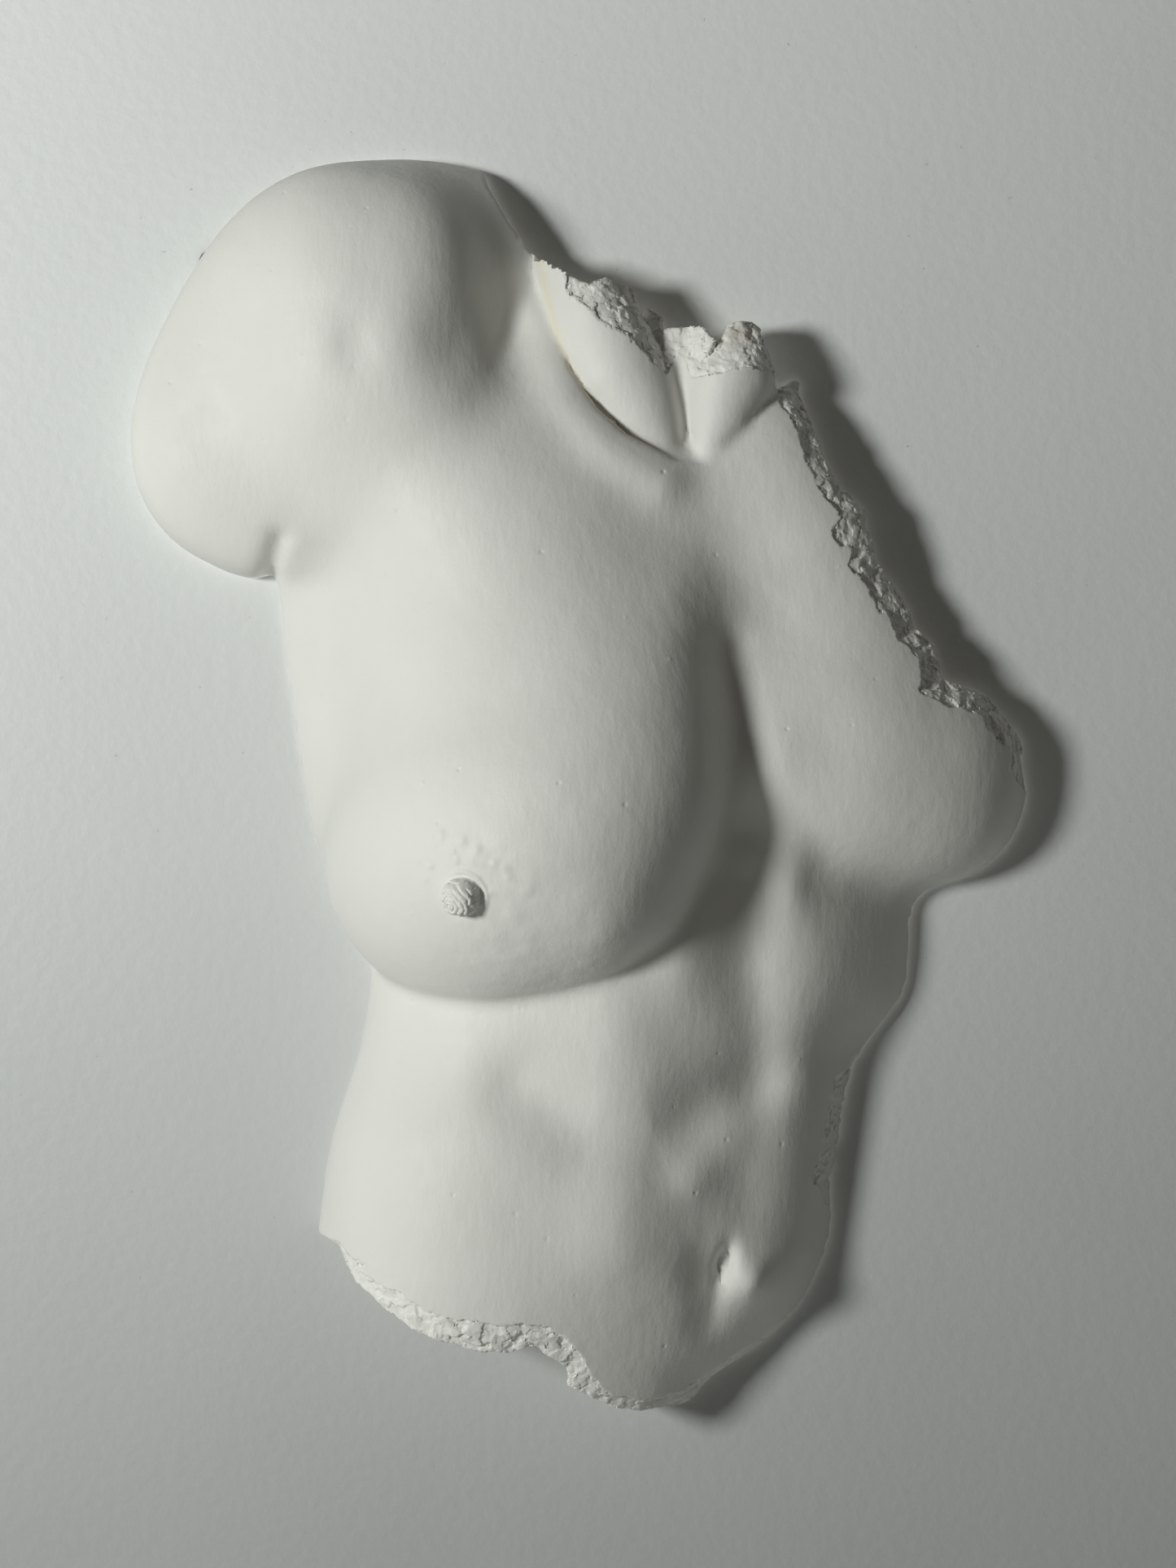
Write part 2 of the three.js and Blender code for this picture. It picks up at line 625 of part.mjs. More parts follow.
function wads() {
  const room = solidFromWrap(shrinkHollow(hollowWrap, 2 * LINING_GAP + LINING_THICKNESS));
  return [['upper', UPPER_BATTEN], ['lower', LOWER_BATTEN]].flatMap(([level, batten]) => [
    wad(`${level}_left_wad`, batten, batten.left - WAD_OVERHANG, room),
    wad(`${level}_right_wad`, batten, batten.right + WAD_OVERHANG, room),
  ]);
}

const ringPlaces = () => [['left', HANG.x - RING_SPACING / 2], ['right', HANG.x + RING_SPACING / 2]];

function screwPlaces() {
  return ringPlaces().flatMap(([, x]) => SCREW_DROPS.map((drop) => [x, UPPER_TOP - drop]));
}

// Outline of a D ring's wire: half the bar, a corner, the round bow, a corner and the other half.
class RingPath extends THREE.Curve {
  getPoint(t) {
    const bow = RING_BAR / 2;
    const rise = RING_HEIGHT - bow;
    const straight = bow - RING_CORNER - RING_SPLIT / 2;
    const quarter = (Math.PI / 2) * RING_CORNER;
    const side = rise - RING_CORNER;
    const half = straight + quarter + side + (Math.PI / 2) * bow;
    const mirrored = t > 0.5;
    let s = 2 * half * (mirrored ? 1 - t : t);
    let point;
    if (s <= straight) {
      point = [RING_SPLIT / 2 + s, 0];
    } else if (s <= straight + quarter) {
      const angle = (s - straight) / RING_CORNER;
      point = [bow - RING_CORNER + RING_CORNER * Math.sin(angle),
        RING_CORNER - RING_CORNER * Math.cos(angle)];
    } else if (s <= straight + quarter + side) {
      point = [bow, RING_CORNER + s - straight - quarter];
    } else {
      s -= straight + quarter + side;
      point = [bow * Math.cos(s / bow), rise + bow * Math.sin(s / bow)];
    }
    return new THREE.Vector3(mirrored ? -point[0] : point[0], 0, point[1]);
  }
}

function roundSection(radius, sides) {
  const section = new THREE.Shape();
  for (let i = 0; i < sides; i += 1) {
    const angle = (2 * Math.PI * i) / sides;
    section[i ? 'lineTo' : 'moveTo'](radius * Math.cos(angle), radius * Math.sin(angle));
  }
  section.closePath();
  return section;
}

function ring(name, x) {
  const geometry = new THREE.ExtrudeGeometry(roundSection(WIRE_RADIUS, WIRE_SIDES), {
    steps: RING_STEPS,
    extrudePath: new RingPath(),
  });
  const mesh = named(name, geometry, ZINC);
  mesh.position.set(x, -BAR_D, BAR_Z);
  return mesh;
}

// Side view of the strap: a flat leg on the batten, curled round the ring's bar at the top.
function strapProfile() {
  const arc = (radius, k) => {
    const angle = radians((CURL_TURN * k) / CURL_STEPS);
    return [-radius * Math.cos(angle), radius * Math.sin(angle)];
  };
  const profile = new THREE.Shape();
  profile.moveTo(-CURL_RADIUS, -STRAP_LEG);
  for (let k = 0; k <= CURL_STEPS; k += 1) profile.lineTo(...arc(CURL_RADIUS, k));
  for (let k = CURL_STEPS; k >= 0; k -= 1) profile.lineTo(...arc(CURL_RADIUS - STRAP_THICKNESS, k));
  profile.lineTo(STRAP_THICKNESS - CURL_RADIUS, -STRAP_LEG);
  profile.closePath();
  return profile;
}

function strap(name, x) {
  const leg = new THREE.ExtrudeGeometry(strapProfile(), {
    depth: STRAP_WIDTH,
    bevelEnabled: false,
  });
  leg.applyMatrix4(new THREE.Matrix4().set(
    0, 0, 1, -STRAP_WIDTH / 2,
    1, 0, 0, 0,
    0, 1, 0, 0,
    0, 0, 0, 1,
  ));
  let solid = solidFromGeometry(leg, [x, BAR_D, BAR_Z]);
  for (const drop of SCREW_DROPS) {
    const hole = solidFromGeometry(screwHole(3 * STRAP_THICKNESS), [
      x,
      BATTEN_BACK - FIT_GAP - STRAP_THICKNESS / 2,
      UPPER_TOP - drop,
    ]);
    solid = solid.subtract(hole);
  }
  return named(name, geometryFromSolid(solid), ZINC);
}

function screw(name, x, z) {
  const seat = BATTEN_BACK - 2 * FIT_GAP - STRAP_THICKNESS;
  const point = BATTEN_BACK + SCREW_LENGTH - 2 * PILOT_MARGIN;
  const profile = [
    [0, seat - HEAD_HEIGHT],
    [HEAD_RADIUS - HEAD_ROUNDING, seat - HEAD_HEIGHT],
    [HEAD_RADIUS, seat - HEAD_HEIGHT + HEAD_ROUNDING],
    [HEAD_RADIUS, seat],
    [SCREW_SHANK, seat],
    [SCREW_SHANK, point - SCREW_TIP],
    [0, point],
  ].map(([r, d]) => new THREE.Vector2(r, -d));
  const mesh = named(name, new THREE.LatheGeometry(profile.reverse(), SCREW_SIDES), ZINC);
  mesh.position.set(x, 0, z);
  return mesh;
}

function hangers() {
  return ringPlaces().flatMap(([side, x]) => [
    strap(`${side}_strap`, x),
    ring(`${side}_ring`, x),
    ...SCREW_DROPS.map((drop, i) => {
      const place = i === 0 ? 'upper' : 'lower';
      return screw(`${side}_${place}_screw`, x, UPPER_TOP - drop);
    }),
  ]);
}

function feltPads() {
  return Object.entries(PADS).map(([place, [x, z]]) => {
    const disc = new THREE.CylinderGeometry(PAD_RADIUS, PAD_RADIUS, PAD_THICKNESS, PAD_SIDES);
    const mesh = named(`${place}_pad`, disc, FELT);
    mesh.position.set(x, -PAD_THICKNESS / 2, z);
    return mesh;
  });
}

// ---------------------------------------------------------------- assembly

const relief = new THREE.Group();
relief.add(torsoShell(), scrimLining(), upperBatten(), lowerBatten());
relief.add(...wads(), ...hangers(), ...feltPads());
relief.position.set(-HANG.x, 0, -HANG.z);

const root = new THREE.Group();
root.add(relief);

export default root;
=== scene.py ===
"""The looks of a plaster torso relief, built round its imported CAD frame."""

import math

import bmesh
import bpy
import numpy as np
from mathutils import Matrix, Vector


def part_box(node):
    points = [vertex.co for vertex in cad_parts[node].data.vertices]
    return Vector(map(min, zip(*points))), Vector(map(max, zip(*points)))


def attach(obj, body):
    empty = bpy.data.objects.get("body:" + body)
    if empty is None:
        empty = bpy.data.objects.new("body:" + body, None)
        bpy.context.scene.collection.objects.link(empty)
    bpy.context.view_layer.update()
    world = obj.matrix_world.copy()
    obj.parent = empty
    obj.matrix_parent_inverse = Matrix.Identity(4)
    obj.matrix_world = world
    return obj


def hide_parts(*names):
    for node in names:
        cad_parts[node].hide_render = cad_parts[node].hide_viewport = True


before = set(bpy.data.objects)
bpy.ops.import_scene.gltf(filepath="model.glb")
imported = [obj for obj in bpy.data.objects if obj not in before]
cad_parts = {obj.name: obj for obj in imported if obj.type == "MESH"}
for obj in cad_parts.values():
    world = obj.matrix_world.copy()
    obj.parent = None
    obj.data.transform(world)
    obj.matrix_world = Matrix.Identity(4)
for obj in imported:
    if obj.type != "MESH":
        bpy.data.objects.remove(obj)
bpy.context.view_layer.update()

import openvdb
from mathutils import Matrix, Vector

MM = 0.001

# ---------------------------------------------------------------- the relief's shape
#
# Shapes are laid out in the relief's own millimetres: x to the right, z up and d the distance out
# from the wall. The tables are the ones that the CAD shell is made from.

PLASTER_BACK = 3.3
SHELL_THICKNESS = 14.0
RIM_THICKNESS = 16.0
# The break is a low cliff at the skin and then a slope that falls this far over its usual run,
# and further where the share of the run is over one.
CLIFF = 1.0
BREAK_RUN = 12.7
SHALLOW_BREAK = 2.5
DEEP_BREAK = 12.0
HOLLOW_ROUNDING = 24.0
LINING_GAP = 1.5
LINING_THICKNESS = 3.0
LINING_EDGE = 13.0
LOW = np.array([-236.0, -6.0, -306.0])
HIGH = np.array([226.0, 146.0, 306.0])

# The trunk is a stack of flattened ovals: height, the oval's front point (x, d), its half width,
# its half depth and how far it faces to the right, in degrees.
TRUNK = np.array([
    [-330, 40, 12, 150, 84, 30],
    [-280, 46, 35, 148, 86, 30],
    [-221, 54, 55, 145, 90, 29],
    [-165, 60, 58, 146, 88, 27],
    [-123, 61, 60, 138, 88, 22],
    [-86, 62, 64, 134, 92, 20],
    [-40, 64, 62, 138, 96, 20],
    [23, 64, 52, 142, 98, 20],
    [96, 58, 50, 140, 96, 20],
    [144, 50, 46, 136, 92, 20],
    [190, 48, 26, 120, 80, 20],
    [240, 48, 6, 90, 60, 20],
], float)
OVAL_POWER = 2.3

# Masses: centre and radii as (x, d, z). lean tips the top to the right and turn faces it right.
ARM = dict(at=(-136, 4, 183), radii=(68, 68, 90), lean=28, power=2.3)
ARM_TOP = 47.0
ARM_ROUNDING = 26.0
SHOULDER = dict(at=(-98, 14, 212), radii=(57, 62, 69), power=2.5)
TRAPEZIUS = dict(at=(-64, 0, 236), radii=(68, 29, 50))
CHEST_MASS = dict(at=(-42, -18, 42), radii=(72, 108, 120), turn=30)
RIGHT_BREAST = dict(at=(-26, 30, -10), radii=(78, 104, 103), lean=45, turn=30, power=2.05)
LEFT_BREAST = dict(at=(130, -6, 9), radii=(74, 67, 57), lean=8, turn=22, power=2.5)

# How softly each part runs into the body, in millimetres. A breast's blend is its radius below
# and above, and the two heights between which it changes.
FLANK_BLEND = 16.0
PECTORAL_BLEND = 30.0
SHOULDER_BLEND = 44.0
TRAPEZIUS_BLEND = 30.0
ARM_BLEND = 14.0
CHEST_BLEND = 30.0
RIGHT_BREAST_BLEND = (5, 42, -60, 70)
LEFT_BREAST_BLEND = (14, 42, -20, 90)
NECK_BLEND = 3.0
CORE_BLEND = 4.0

# Chains of rounded links: x, d, z and radius at each joint.
FLANK = [(-118, -4, 120, 30), (-112, -4, 60, 30), (-100, -8, -10, 32), (-84, -12, -60, 26)]
LEFT_PECTORAL = [(84, 6, 150, 34), (104, 6, 110, 38), (128, -6, 60, 41)]
RIGHT_PECTORAL = [(-102, 10, 192, 48), (-62, 14, 134, 54), (-34, 18, 80, 58)]
RIGHT_NECK = [
    (33, 36, 153, 11), (24, 31, 170, 19), (15, 27, 189, 25), (6, 26, 216, 25), (0, 24, 240, 25),
]
LEFT_NECK = [
    (54, 40, 150, 5), (57, 38, 158, 9.5), (61, 34, 170, 15), (65, 28, 187, 21.5), (66, 26, 225, 24),
]
NECK_CORE = [(46, 16, 148, 20), (44, 10, 200, 26), (42, 8, 240, 26)]

# The hollow above the collarbones, as an outline in x and z, how deep it drops and the heights
# between which it gets that deep.
NECK_HOLLOW = [
    (-22, 241), (-16, 212), (-8, 189), (4, 171), (17, 159), (40, 147),
    (52, 147), (68, 161), (82, 176), (92, 190), (92, 262), (-22, 262),
]
NECK_DROP = 13.0
NECK_SLOPE = (140, 182)

# Soft relief on the skin. A swell is height, centre (x, z), radii and tilt; a line is height,
# half width and its points. Negative heights press in.
SWELLS = [
    (-4, -46, 220, 20, 36, 6),
    (-4, -62, 198, 15, 20, 0),
    (-2, -104, 196, 10, 14, 0),
    (4, 44, 90, 22, 30, 0),
    (5, 42, -76, 15, 24, 0),
    (4, 92, -42, 10, 18, 0),
    (8, 86, 4, 18, 32, 0),
    (3, 104, -70, 20, 40, 0),
    (3, 24, -118, 44, 22, 0),
    (2, 48, -178, 10, 10, 0),
    (-4, 53, -221, 10, 13, 0),
    (-4.5, 61.5, -218, 3.5, 9, -14),
    (6, 75, -227, 9, 10, 0),
    (-3, 54, -243, 10, 12, 0),
]
LINES = [
    (5, 12, [(-20, 215), (-15, 195), (-8, 176), (10, 154), (34, 138)]),
    (-4, 5, [(-151, 88), (-141, 112)]),
    (-3, 11, [(62, 60), (65, 20), (66, -20)]),
    (-4, 13, [(68, -45), (74, -90), (79, -135)]),
    (-1.5, 12, [(79, -135), (72, -190)]),
    (-5, 16, [(-30, -136), (0, -158), (30, -162), (64, -138)]),
    (5, 24, [(14, -70), (14, -110), (20, -150), (16, -200)]),
    (-12, 24, [(128, -130), (129, -180), (123, -225), (100, -260), (64, -286)]),
]

# The fragment's edge where the skin ends: x, z and how far out the broken face runs below the
# skin, as a share of the usual run. The left side runs clear of the body, whose own outline ends
# it.
EDGE = [
    (-60, 320, 0), (-46, 276, 0), (-37, 259, 0), (-29, 248, 0), (-22, 240, 0), (-10, 233, 0),
    (-9, 222, 1.2), (6, 212, 1.5), (18, 204, 1.5), (29, 195, 1.5), (35, 189, 1.4), (40, 196, 1),
    (46, 197, 1), (49, 188, 1.4), (62, 187, 1.8), (75, 190, 1.8), (84, 190, 1.5), (90, 178, 0.7),
    (93, 164, 0.8), (101, 143, 0.9), (108, 127, 0.9), (116, 121, 0.9), (113, 114, 0.9),
    (121, 108, 0.9), (118, 100, 0.9), (128, 89, 0.9), (135, 80, 0.9), (140, 65, 0.9),
    (150, 58, 0.9), (152, 43, 0.9), (167, 35, 0.9), (176, 31, 0.9), (184, 22, 0.9),
    (192, 12, 0.9), (193, 5, 0.8), (202, -1, 0.5), (215, -10, 0), (215, -60, 0), (165, -60, 0),
    (149, -62, 0), (150, -85, 0), (146, -99, 0), (136, -112, 0), (128, -122, 0.3),
    (113, -137, 0.6), (109, -152, 0.7), (107, -175, 0.7), (104, -184, 0.6), (111, -196, 0.4),
    (116, -210, 0.2), (113, -224, 0.3), (104, -238, 0.3), (88, -252, 0.3), (58, -270, 0.3),
    (44, -279, 0.5), (20, -279, 0.5), (6, -274, 0.5), (2, -268, 0.8), (0, -256, 0.8),
    (-8, -248, 0.9), (-17, -241, 0.9), (-24, -239, 0.9), (-38, -242, 0.9), (-48, -242, 0.9),
    (-56, -239, 0.9), (-64, -238, 0.9), (-76, -232, 0.9), (-88, -225, 0.8), (-100, -218, 0.6),
    (-112, -208, 0.2), (-140, -206, 0), (-260, -206, 0), (-260, 320, 0),
]


def smooth_min(a, b, k):
    h = np.maximum(k - np.abs(a - b), 0.0) / k
    return np.minimum(a, b) - h * h * (k / 4)


def smooth_max(a, b, k):
    return -smooth_min(-a, -b, k)


def power_shape(offsets, radii, power):
    """Distance to |u/a|^n + |v/b|^n + ... = 1, to first order."""
    ratios = [np.abs(offset / radius) for offset, radius in zip(offsets, radii)]
    reach = np.maximum(sum(ratio ** power for ratio in ratios) ** (1 / power), 1e-6)
    slope = sum((ratio ** (power - 1) / radius) ** 2 for ratio, radius in zip(ratios, radii))
    return (reach - 1) / np.maximum(np.sqrt(slope) / reach ** (power - 1), 1e-6)


def mass(p, at, radii, lean=0, turn=0, power=2):
    px, pd, pz = (p[i] - at[i] for i in range(3))
    ct, st = math.cos(math.radians(turn)), math.sin(math.radians(turn))
    cl, sl = math.cos(math.radians(lean)), math.sin(math.radians(lean))
    side = ct * px - st * pd
    front = st * px + ct * pd
    return power_shape([cl * side - sl * pz, front, sl * side + cl * pz], radii, power)


def chain(p, links):
    """Distance to a run of round cones, each tangent to the balls at its two ends."""
    nearest = None
    for (ax, ad, az, ar), (bx, bd, bz, br) in zip(links, links[1:]):
        along = (bx - ax, bd - ad, bz - az)
        start = (p[0] - ax, p[1] - ad, p[2] - az)
        length = math.sqrt(sum(a * a for a in along))
        taper = (br - ar) / length
        reach = sum(a * s for a, s in zip(along, start)) / length
        side = np.sqrt(np.maximum(sum(s * s for s in start) - reach * reach, 0))
        t = np.clip((reach + side * taper / math.sqrt(1 - taper * taper)) / length, 0, 1)
        gap = np.sqrt(sum((s - t * a) ** 2 for a, s in zip(along, start)))
        gap = gap - ar - (br - ar) * t
        nearest = gap if nearest is None else np.minimum(nearest, gap)
    return nearest


def to_segment(x, z, a, b):
    """Squared distance from (x, z) to the segment a-b and the share of the way along it."""
    ux, uz = b[0] - a[0], b[1] - a[1]
    t = np.clip(((x - a[0]) * ux + (z - a[1]) * uz) / (ux * ux + uz * uz), 0, 1)
    return (x - a[0] - t * ux) ** 2 + (z - a[1] - t * uz) ** 2, t


def outline(x, z, points):
    """Distance to a closed outline in x and z, negative inside, and its third value there."""
    nearest = np.full(x.shape, np.inf, x.dtype)
    value = np.zeros_like(x)
    inside = np.zeros(x.shape, bool)
    for a, b in zip(points, points[1:] + points[:1]):
        squared, t = to_segment(x, z, a, b)
        closer = squared < nearest
        nearest[closer] = squared[closer]
        if len(a) > 2:
            value[closer] = (a[2] + (b[2] - a[2]) * t)[closer]
        if a[1] != b[1]:
            crosses = (a[1] > z) != (b[1] > z)
            inside ^= crosses & (x < (b[0] - a[0]) * (z - a[1]) / (b[1] - a[1]) + a[0])
    return np.sqrt(nearest) * np.where(inside, -1, 1), value


def swell(x, z, swells):
    """Height of a list of rounded swells."""
    height = np.zeros_like(x)
    for rise, cx, cz, rx, rz, tilt in swells:
        c, s = math.cos(math.radians(tilt)), math.sin(math.radians(tilt))
        across = ((x - cx) * c + (z - cz) * s) / rx
        along = ((z - cz) * c - (x - cx) * s) / rz
        height += rise * np.exp(-across * across - along * along)
    return height


def soft_relief(x, z):
    """Height of the soft relief over the skin."""
    height = swell(x, z, SWELLS)
    for rise, width, points in LINES:
        nearest = np.full(x.shape, np.inf, x.dtype)
        for a, b in zip(points, points[1:]):
            nearest = np.minimum(nearest, to_segment(x, z, a, b)[0])
        height += rise * np.exp(-nearest / (width * width))
    return height


class Chart:
    """Values over the (x, z) plane, worked out once every millimetre and read in between."""

    def __init__(self, function):
        self.x0, self.z0 = LOW[0] - 8, LOW[2] - 8
        x = np.arange(self.x0, HIGH[0] + 9)
        z = np.arange(self.z0, HIGH[2] + 9)
        self.values = function(*np.meshgrid(x, z, indexing="ij"))

    def __call__(self, x, z):
        u = np.clip(x - self.x0, 0, self.values.shape[0] - 1.001)
        v = np.clip(z - self.z0, 0, self.values.shape[1] - 1.001)
        i, j = u.astype(int), v.astype(int)
        u, v = u - i, v - j
        low = self.values[i, j] * (1 - v) + self.values[i, j + 1] * v
        high = self.values[i + 1, j] * (1 - v) + self.values[i + 1, j + 1] * v
        return low * (1 - u) + high * u


RELIEF = Chart(soft_relief)
HOLLOW_EDGE = Chart(lambda x, z: outline(x, z, NECK_HOLLOW)[0])
BREAK_EDGE = Chart(lambda x, z: outline(x, z, EDGE)[0])
BREAK_SLOPE = Chart(lambda x, z: outline(x, z, EDGE)[1])


def level_curves():
    """The trunk's table read every millimetre along a smooth curve through its levels."""
    knots = TRUNK[:, 0]
    z = np.arange(knots[0], knots[-1] + 1)
    i = np.clip(np.searchsorted(knots, z) - 1, 0, len(knots) - 2)
    span = knots[i + 1] - knots[i]
    t = (z - knots[i]) / span
    curves = []
    for column in TRUNK.T[1:]:
        slope = np.gradient(column, knots)
        ends = (2 * t**3 - 3 * t**2 + 1) * column[i] + (3 * t**2 - 2 * t**3) * column[i + 1]
        bends = (t**3 - 2 * t**2 + t) * slope[i] + (t**3 - t**2) * slope[i + 1]
        curves.append(ends + bends * span)
    return z, curves


LEVEL_HEIGHTS, LEVELS = level_curves()


def trunk(p):
    front_x, front_d, width, depth, facing = (
        np.interp(p[2], LEVEL_HEIGHTS, curve) for curve in LEVELS)
    s, c = np.sin(np.radians(facing)), np.cos(np.radians(facing))
    px = p[0] - (front_x - depth * s)
    pd = p[1] - (front_d - depth * c)
    oval = power_shape([px * c - pd * s, px * s + pd * c], [width, depth], OVAL_POWER)
    return np.maximum(oval, np.maximum(p[2] - TRUNK[-1, 0], TRUNK[0, 0] - p[2]))


def ramp(value, low, high):
    """How far a value is from low to high, from 0 to 1."""
    return np.clip((value - low) / (high - low), 0, 1)


def breast_blend(z, below, above, start, end):
    t = ramp(z, start, end)
    return below + (above - below) * t * t * (3 - 2 * t)


def body(p):
    """Distance to the whole smooth body, before the fragment's edge is cut."""
    f = trunk(p)
    f = smooth_min(f, chain(p, FLANK), FLANK_BLEND)
    f = smooth_min(f, chain(p, LEFT_PECTORAL), PECTORAL_BLEND)
    arm = smooth_max(mass(p, **ARM), p[1] - ARM_TOP, ARM_ROUNDING)
    arm = smooth_min(arm, mass(p, **SHOULDER), SHOULDER_BLEND)
    f = smooth_min(f, smooth_min(arm, mass(p, **TRAPEZIUS), TRAPEZIUS_BLEND), ARM_BLEND)
    f = smooth_min(f, chain(p, RIGHT_PECTORAL), PECTORAL_BLEND)
    f = smooth_min(f, mass(p, **CHEST_MASS), CHEST_BLEND)
    f = smooth_min(f, mass(p, **RIGHT_BREAST), breast_blend(p[2], *RIGHT_BREAST_BLEND))
    f = smooth_min(f, mass(p, **LEFT_BREAST), breast_blend(p[2], *LEFT_BREAST_BLEND))
    f = f - RELIEF(p[0], p[2])
    floor = f + NECK_DROP * ramp(p[2], *NECK_SLOPE)
    f = smooth_max(f, np.minimum(-HOLLOW_EDGE(p[0], p[2]), floor), NECK_BLEND)
    cords = smooth_min(chain(p, RIGHT_NECK), chain(p, LEFT_NECK), NECK_BLEND)
    return smooth_min(f, smooth_min(cords, chain(p, NECK_CORE), CORE_BLEND), NECK_BLEND)


# ---------------------------------------------------------------- noise

SHUFFLE = np.random.default_rng(4).permutation(256)
LEVELS_OF_CHANCE = np.random.default_rng(5).uniform(-1, 1, 256)


def chance(cells, seed):
    """A fixed random number from -1 to 1 for each cell of a lattice."""
    key = np.full(cells[0].shape, seed)
    for cell in cells:
        key = SHUFFLE[(key + cell) & 255]
    return LEVELS_OF_CHANCE[key]


def noise(p, size, seed):
    """Smooth noise from -1 to 1, with one lump every size millimetres."""
    places = [axis / size for axis in p]
    base = [np.floor(place).astype(int) for place in places]
    t = [place - cell for place, cell in zip(places, base)]
    t = [u * u * u * (u * (6 * u - 15) + 10) for u in t]
    total = 0
    for corner in range(8):
        steps = [corner >> axis & 1 for axis in range(3)]
        weight = 1
        for u, step in zip(t, steps):
            weight = weight * (u if step else 1 - u)
        total = total + weight * chance([cell + step for cell, step in zip(base, steps)], seed)
    return total


def facets(p, size, seed):
    """Chipped facets from about -1 to 1: each cell of the lattice is a tilted flat of its own."""
    base = [np.floor(axis / size).astype(int) for axis in p]
    nearest = np.full(p[0].shape, 9.0)
    height = np.zeros(p[0].shape)
    for corner in range(27):
        cells = [cell + corner // 3 ** axis % 3 - 1 for axis, cell in enumerate(base)]
        squared, level = 0, 0.6 * chance(cells, seed + 3)
        for axis in range(3):
            offset = p[axis] / size - cells[axis] - 0.5 - 0.45 * chance(cells, seed + axis)
            squared = squared + offset * offset
            level = level + 0.9 * offset * chance(cells, seed + 4 + axis)
        closer = squared < nearest
        nearest[closer] = squared[closer]
        height[closer] = level[closer]
    return height


# ---------------------------------------------------------------- fine detail of the plaster

NIPPLE_AT = (-53.9, -48.3)
NIPPLE_RADII = (8.0, 7.9, 8.6)
NIPPLE_SINK = 1.6
# Bumps round the nipple: right, up, radius and height.
BUMPS = [
    (-10, 25.4, 2.0, 0.8), (-14, 22.4, 2.2, 0.6), (0.6, 23.6, 2.0, 0.9), (7.7, 20.6, 1.8, 0.8),
    (-4.2, 19, 1.6, 0.7), (-2.4, 15.5, 1.6, 0.6), (-22, 14.7, 1.8, 0.6), (-15.3, 13, 2.0, 0.8),
    (-18.3, 7, 1.8, 0.5), (6, 17, 3.0, 0.8), (10.6, 15.3, 2.6, 0.7), (15.3, 14, 2.4, 0.8),
    (19.4, 11.6, 2.2, 0.7), (21.2, 8.2, 2.0, 0.6), (12.4, 1.2, 1.8, 0.5), (28, 1, 2.4, 0.4),
]
# The navel's round fold and its pit, written as swells.
FOLDS = [(3.5, 86, -226, 14, 15, 0), (-4, 61.5, -216, 3.2, 6, -22), (-1.2, 60, -230, 4, 12, -18)]
PITS = 60
PIMPLES = 18


def gradient(field, p, step):
    """How a field grows along each axis, from four readings round each point."""
    tetrahedron = ((1, 1, 1), (1, -1, -1), (-1, 1, -1), (-1, -1, 1))
    total = np.zeros((3, p[0].size))
    for signs in tetrahedron:
        value = field([axis + sign * step for axis, sign in zip(p, signs)])
        total += np.array(signs, float)[:, None] * value
    return total / (4 * step)


def skin_frame(x, z):
    """A place on the smooth skin in front of (x, z), with directions right, up and out of it."""
    d = np.arange(HIGH[1], 0, -0.1)
    values = body([np.full_like(d, x), d, np.full_like(d, z)])
    place = np.array([x, d[np.argmax(values < 0)], z])
    out = gradient(body, [place[i:i + 1] for i in range(3)], 2.0)[:, 0]
    out /= np.linalg.norm(out)
    right = np.cross([0, 0, 1], out)
    right *= np.sign(right[0]) / np.linalg.norm(right)
    up = np.cross(out, right)
    return place, right, up * np.sign(up[2]), out


NIPPLE = skin_frame(*NIPPLE_AT)


def nipple_offsets(p):
    """How far points are to the right of the nipple's root, above it and out from it."""
    place, *directions = NIPPLE
    start = [axis - centre for axis, centre in zip(p, place)]
    return [sum(s * w for s, w in zip(start, direction)) for direction in directions]


def marks():
    """Small pits and pimples on the skin: x, z, radius and height."""
    rng = np.random.default_rng(11)
    spread = rng.uniform((-200, -270), (190, 270), (PITS + PIMPLES, 2))
    radius = rng.uniform(0.45, 0.8, PITS + PIMPLES)
    height = np.where(np.arange(PITS + PIMPLES) < PITS, -0.6, 0.25) * radius
    return [(*place, r, h) for place, r, h in zip(spread, radius, height)]


MARKS = marks() + [(34, 141, 0.7, -0.9), (-72.5, 0.5, 0.8, 0.4), (-12.6, 0.5, 0.7, -0.5)]


NAVEL = Chart(lambda x, z: swell(x, z, FOLDS))


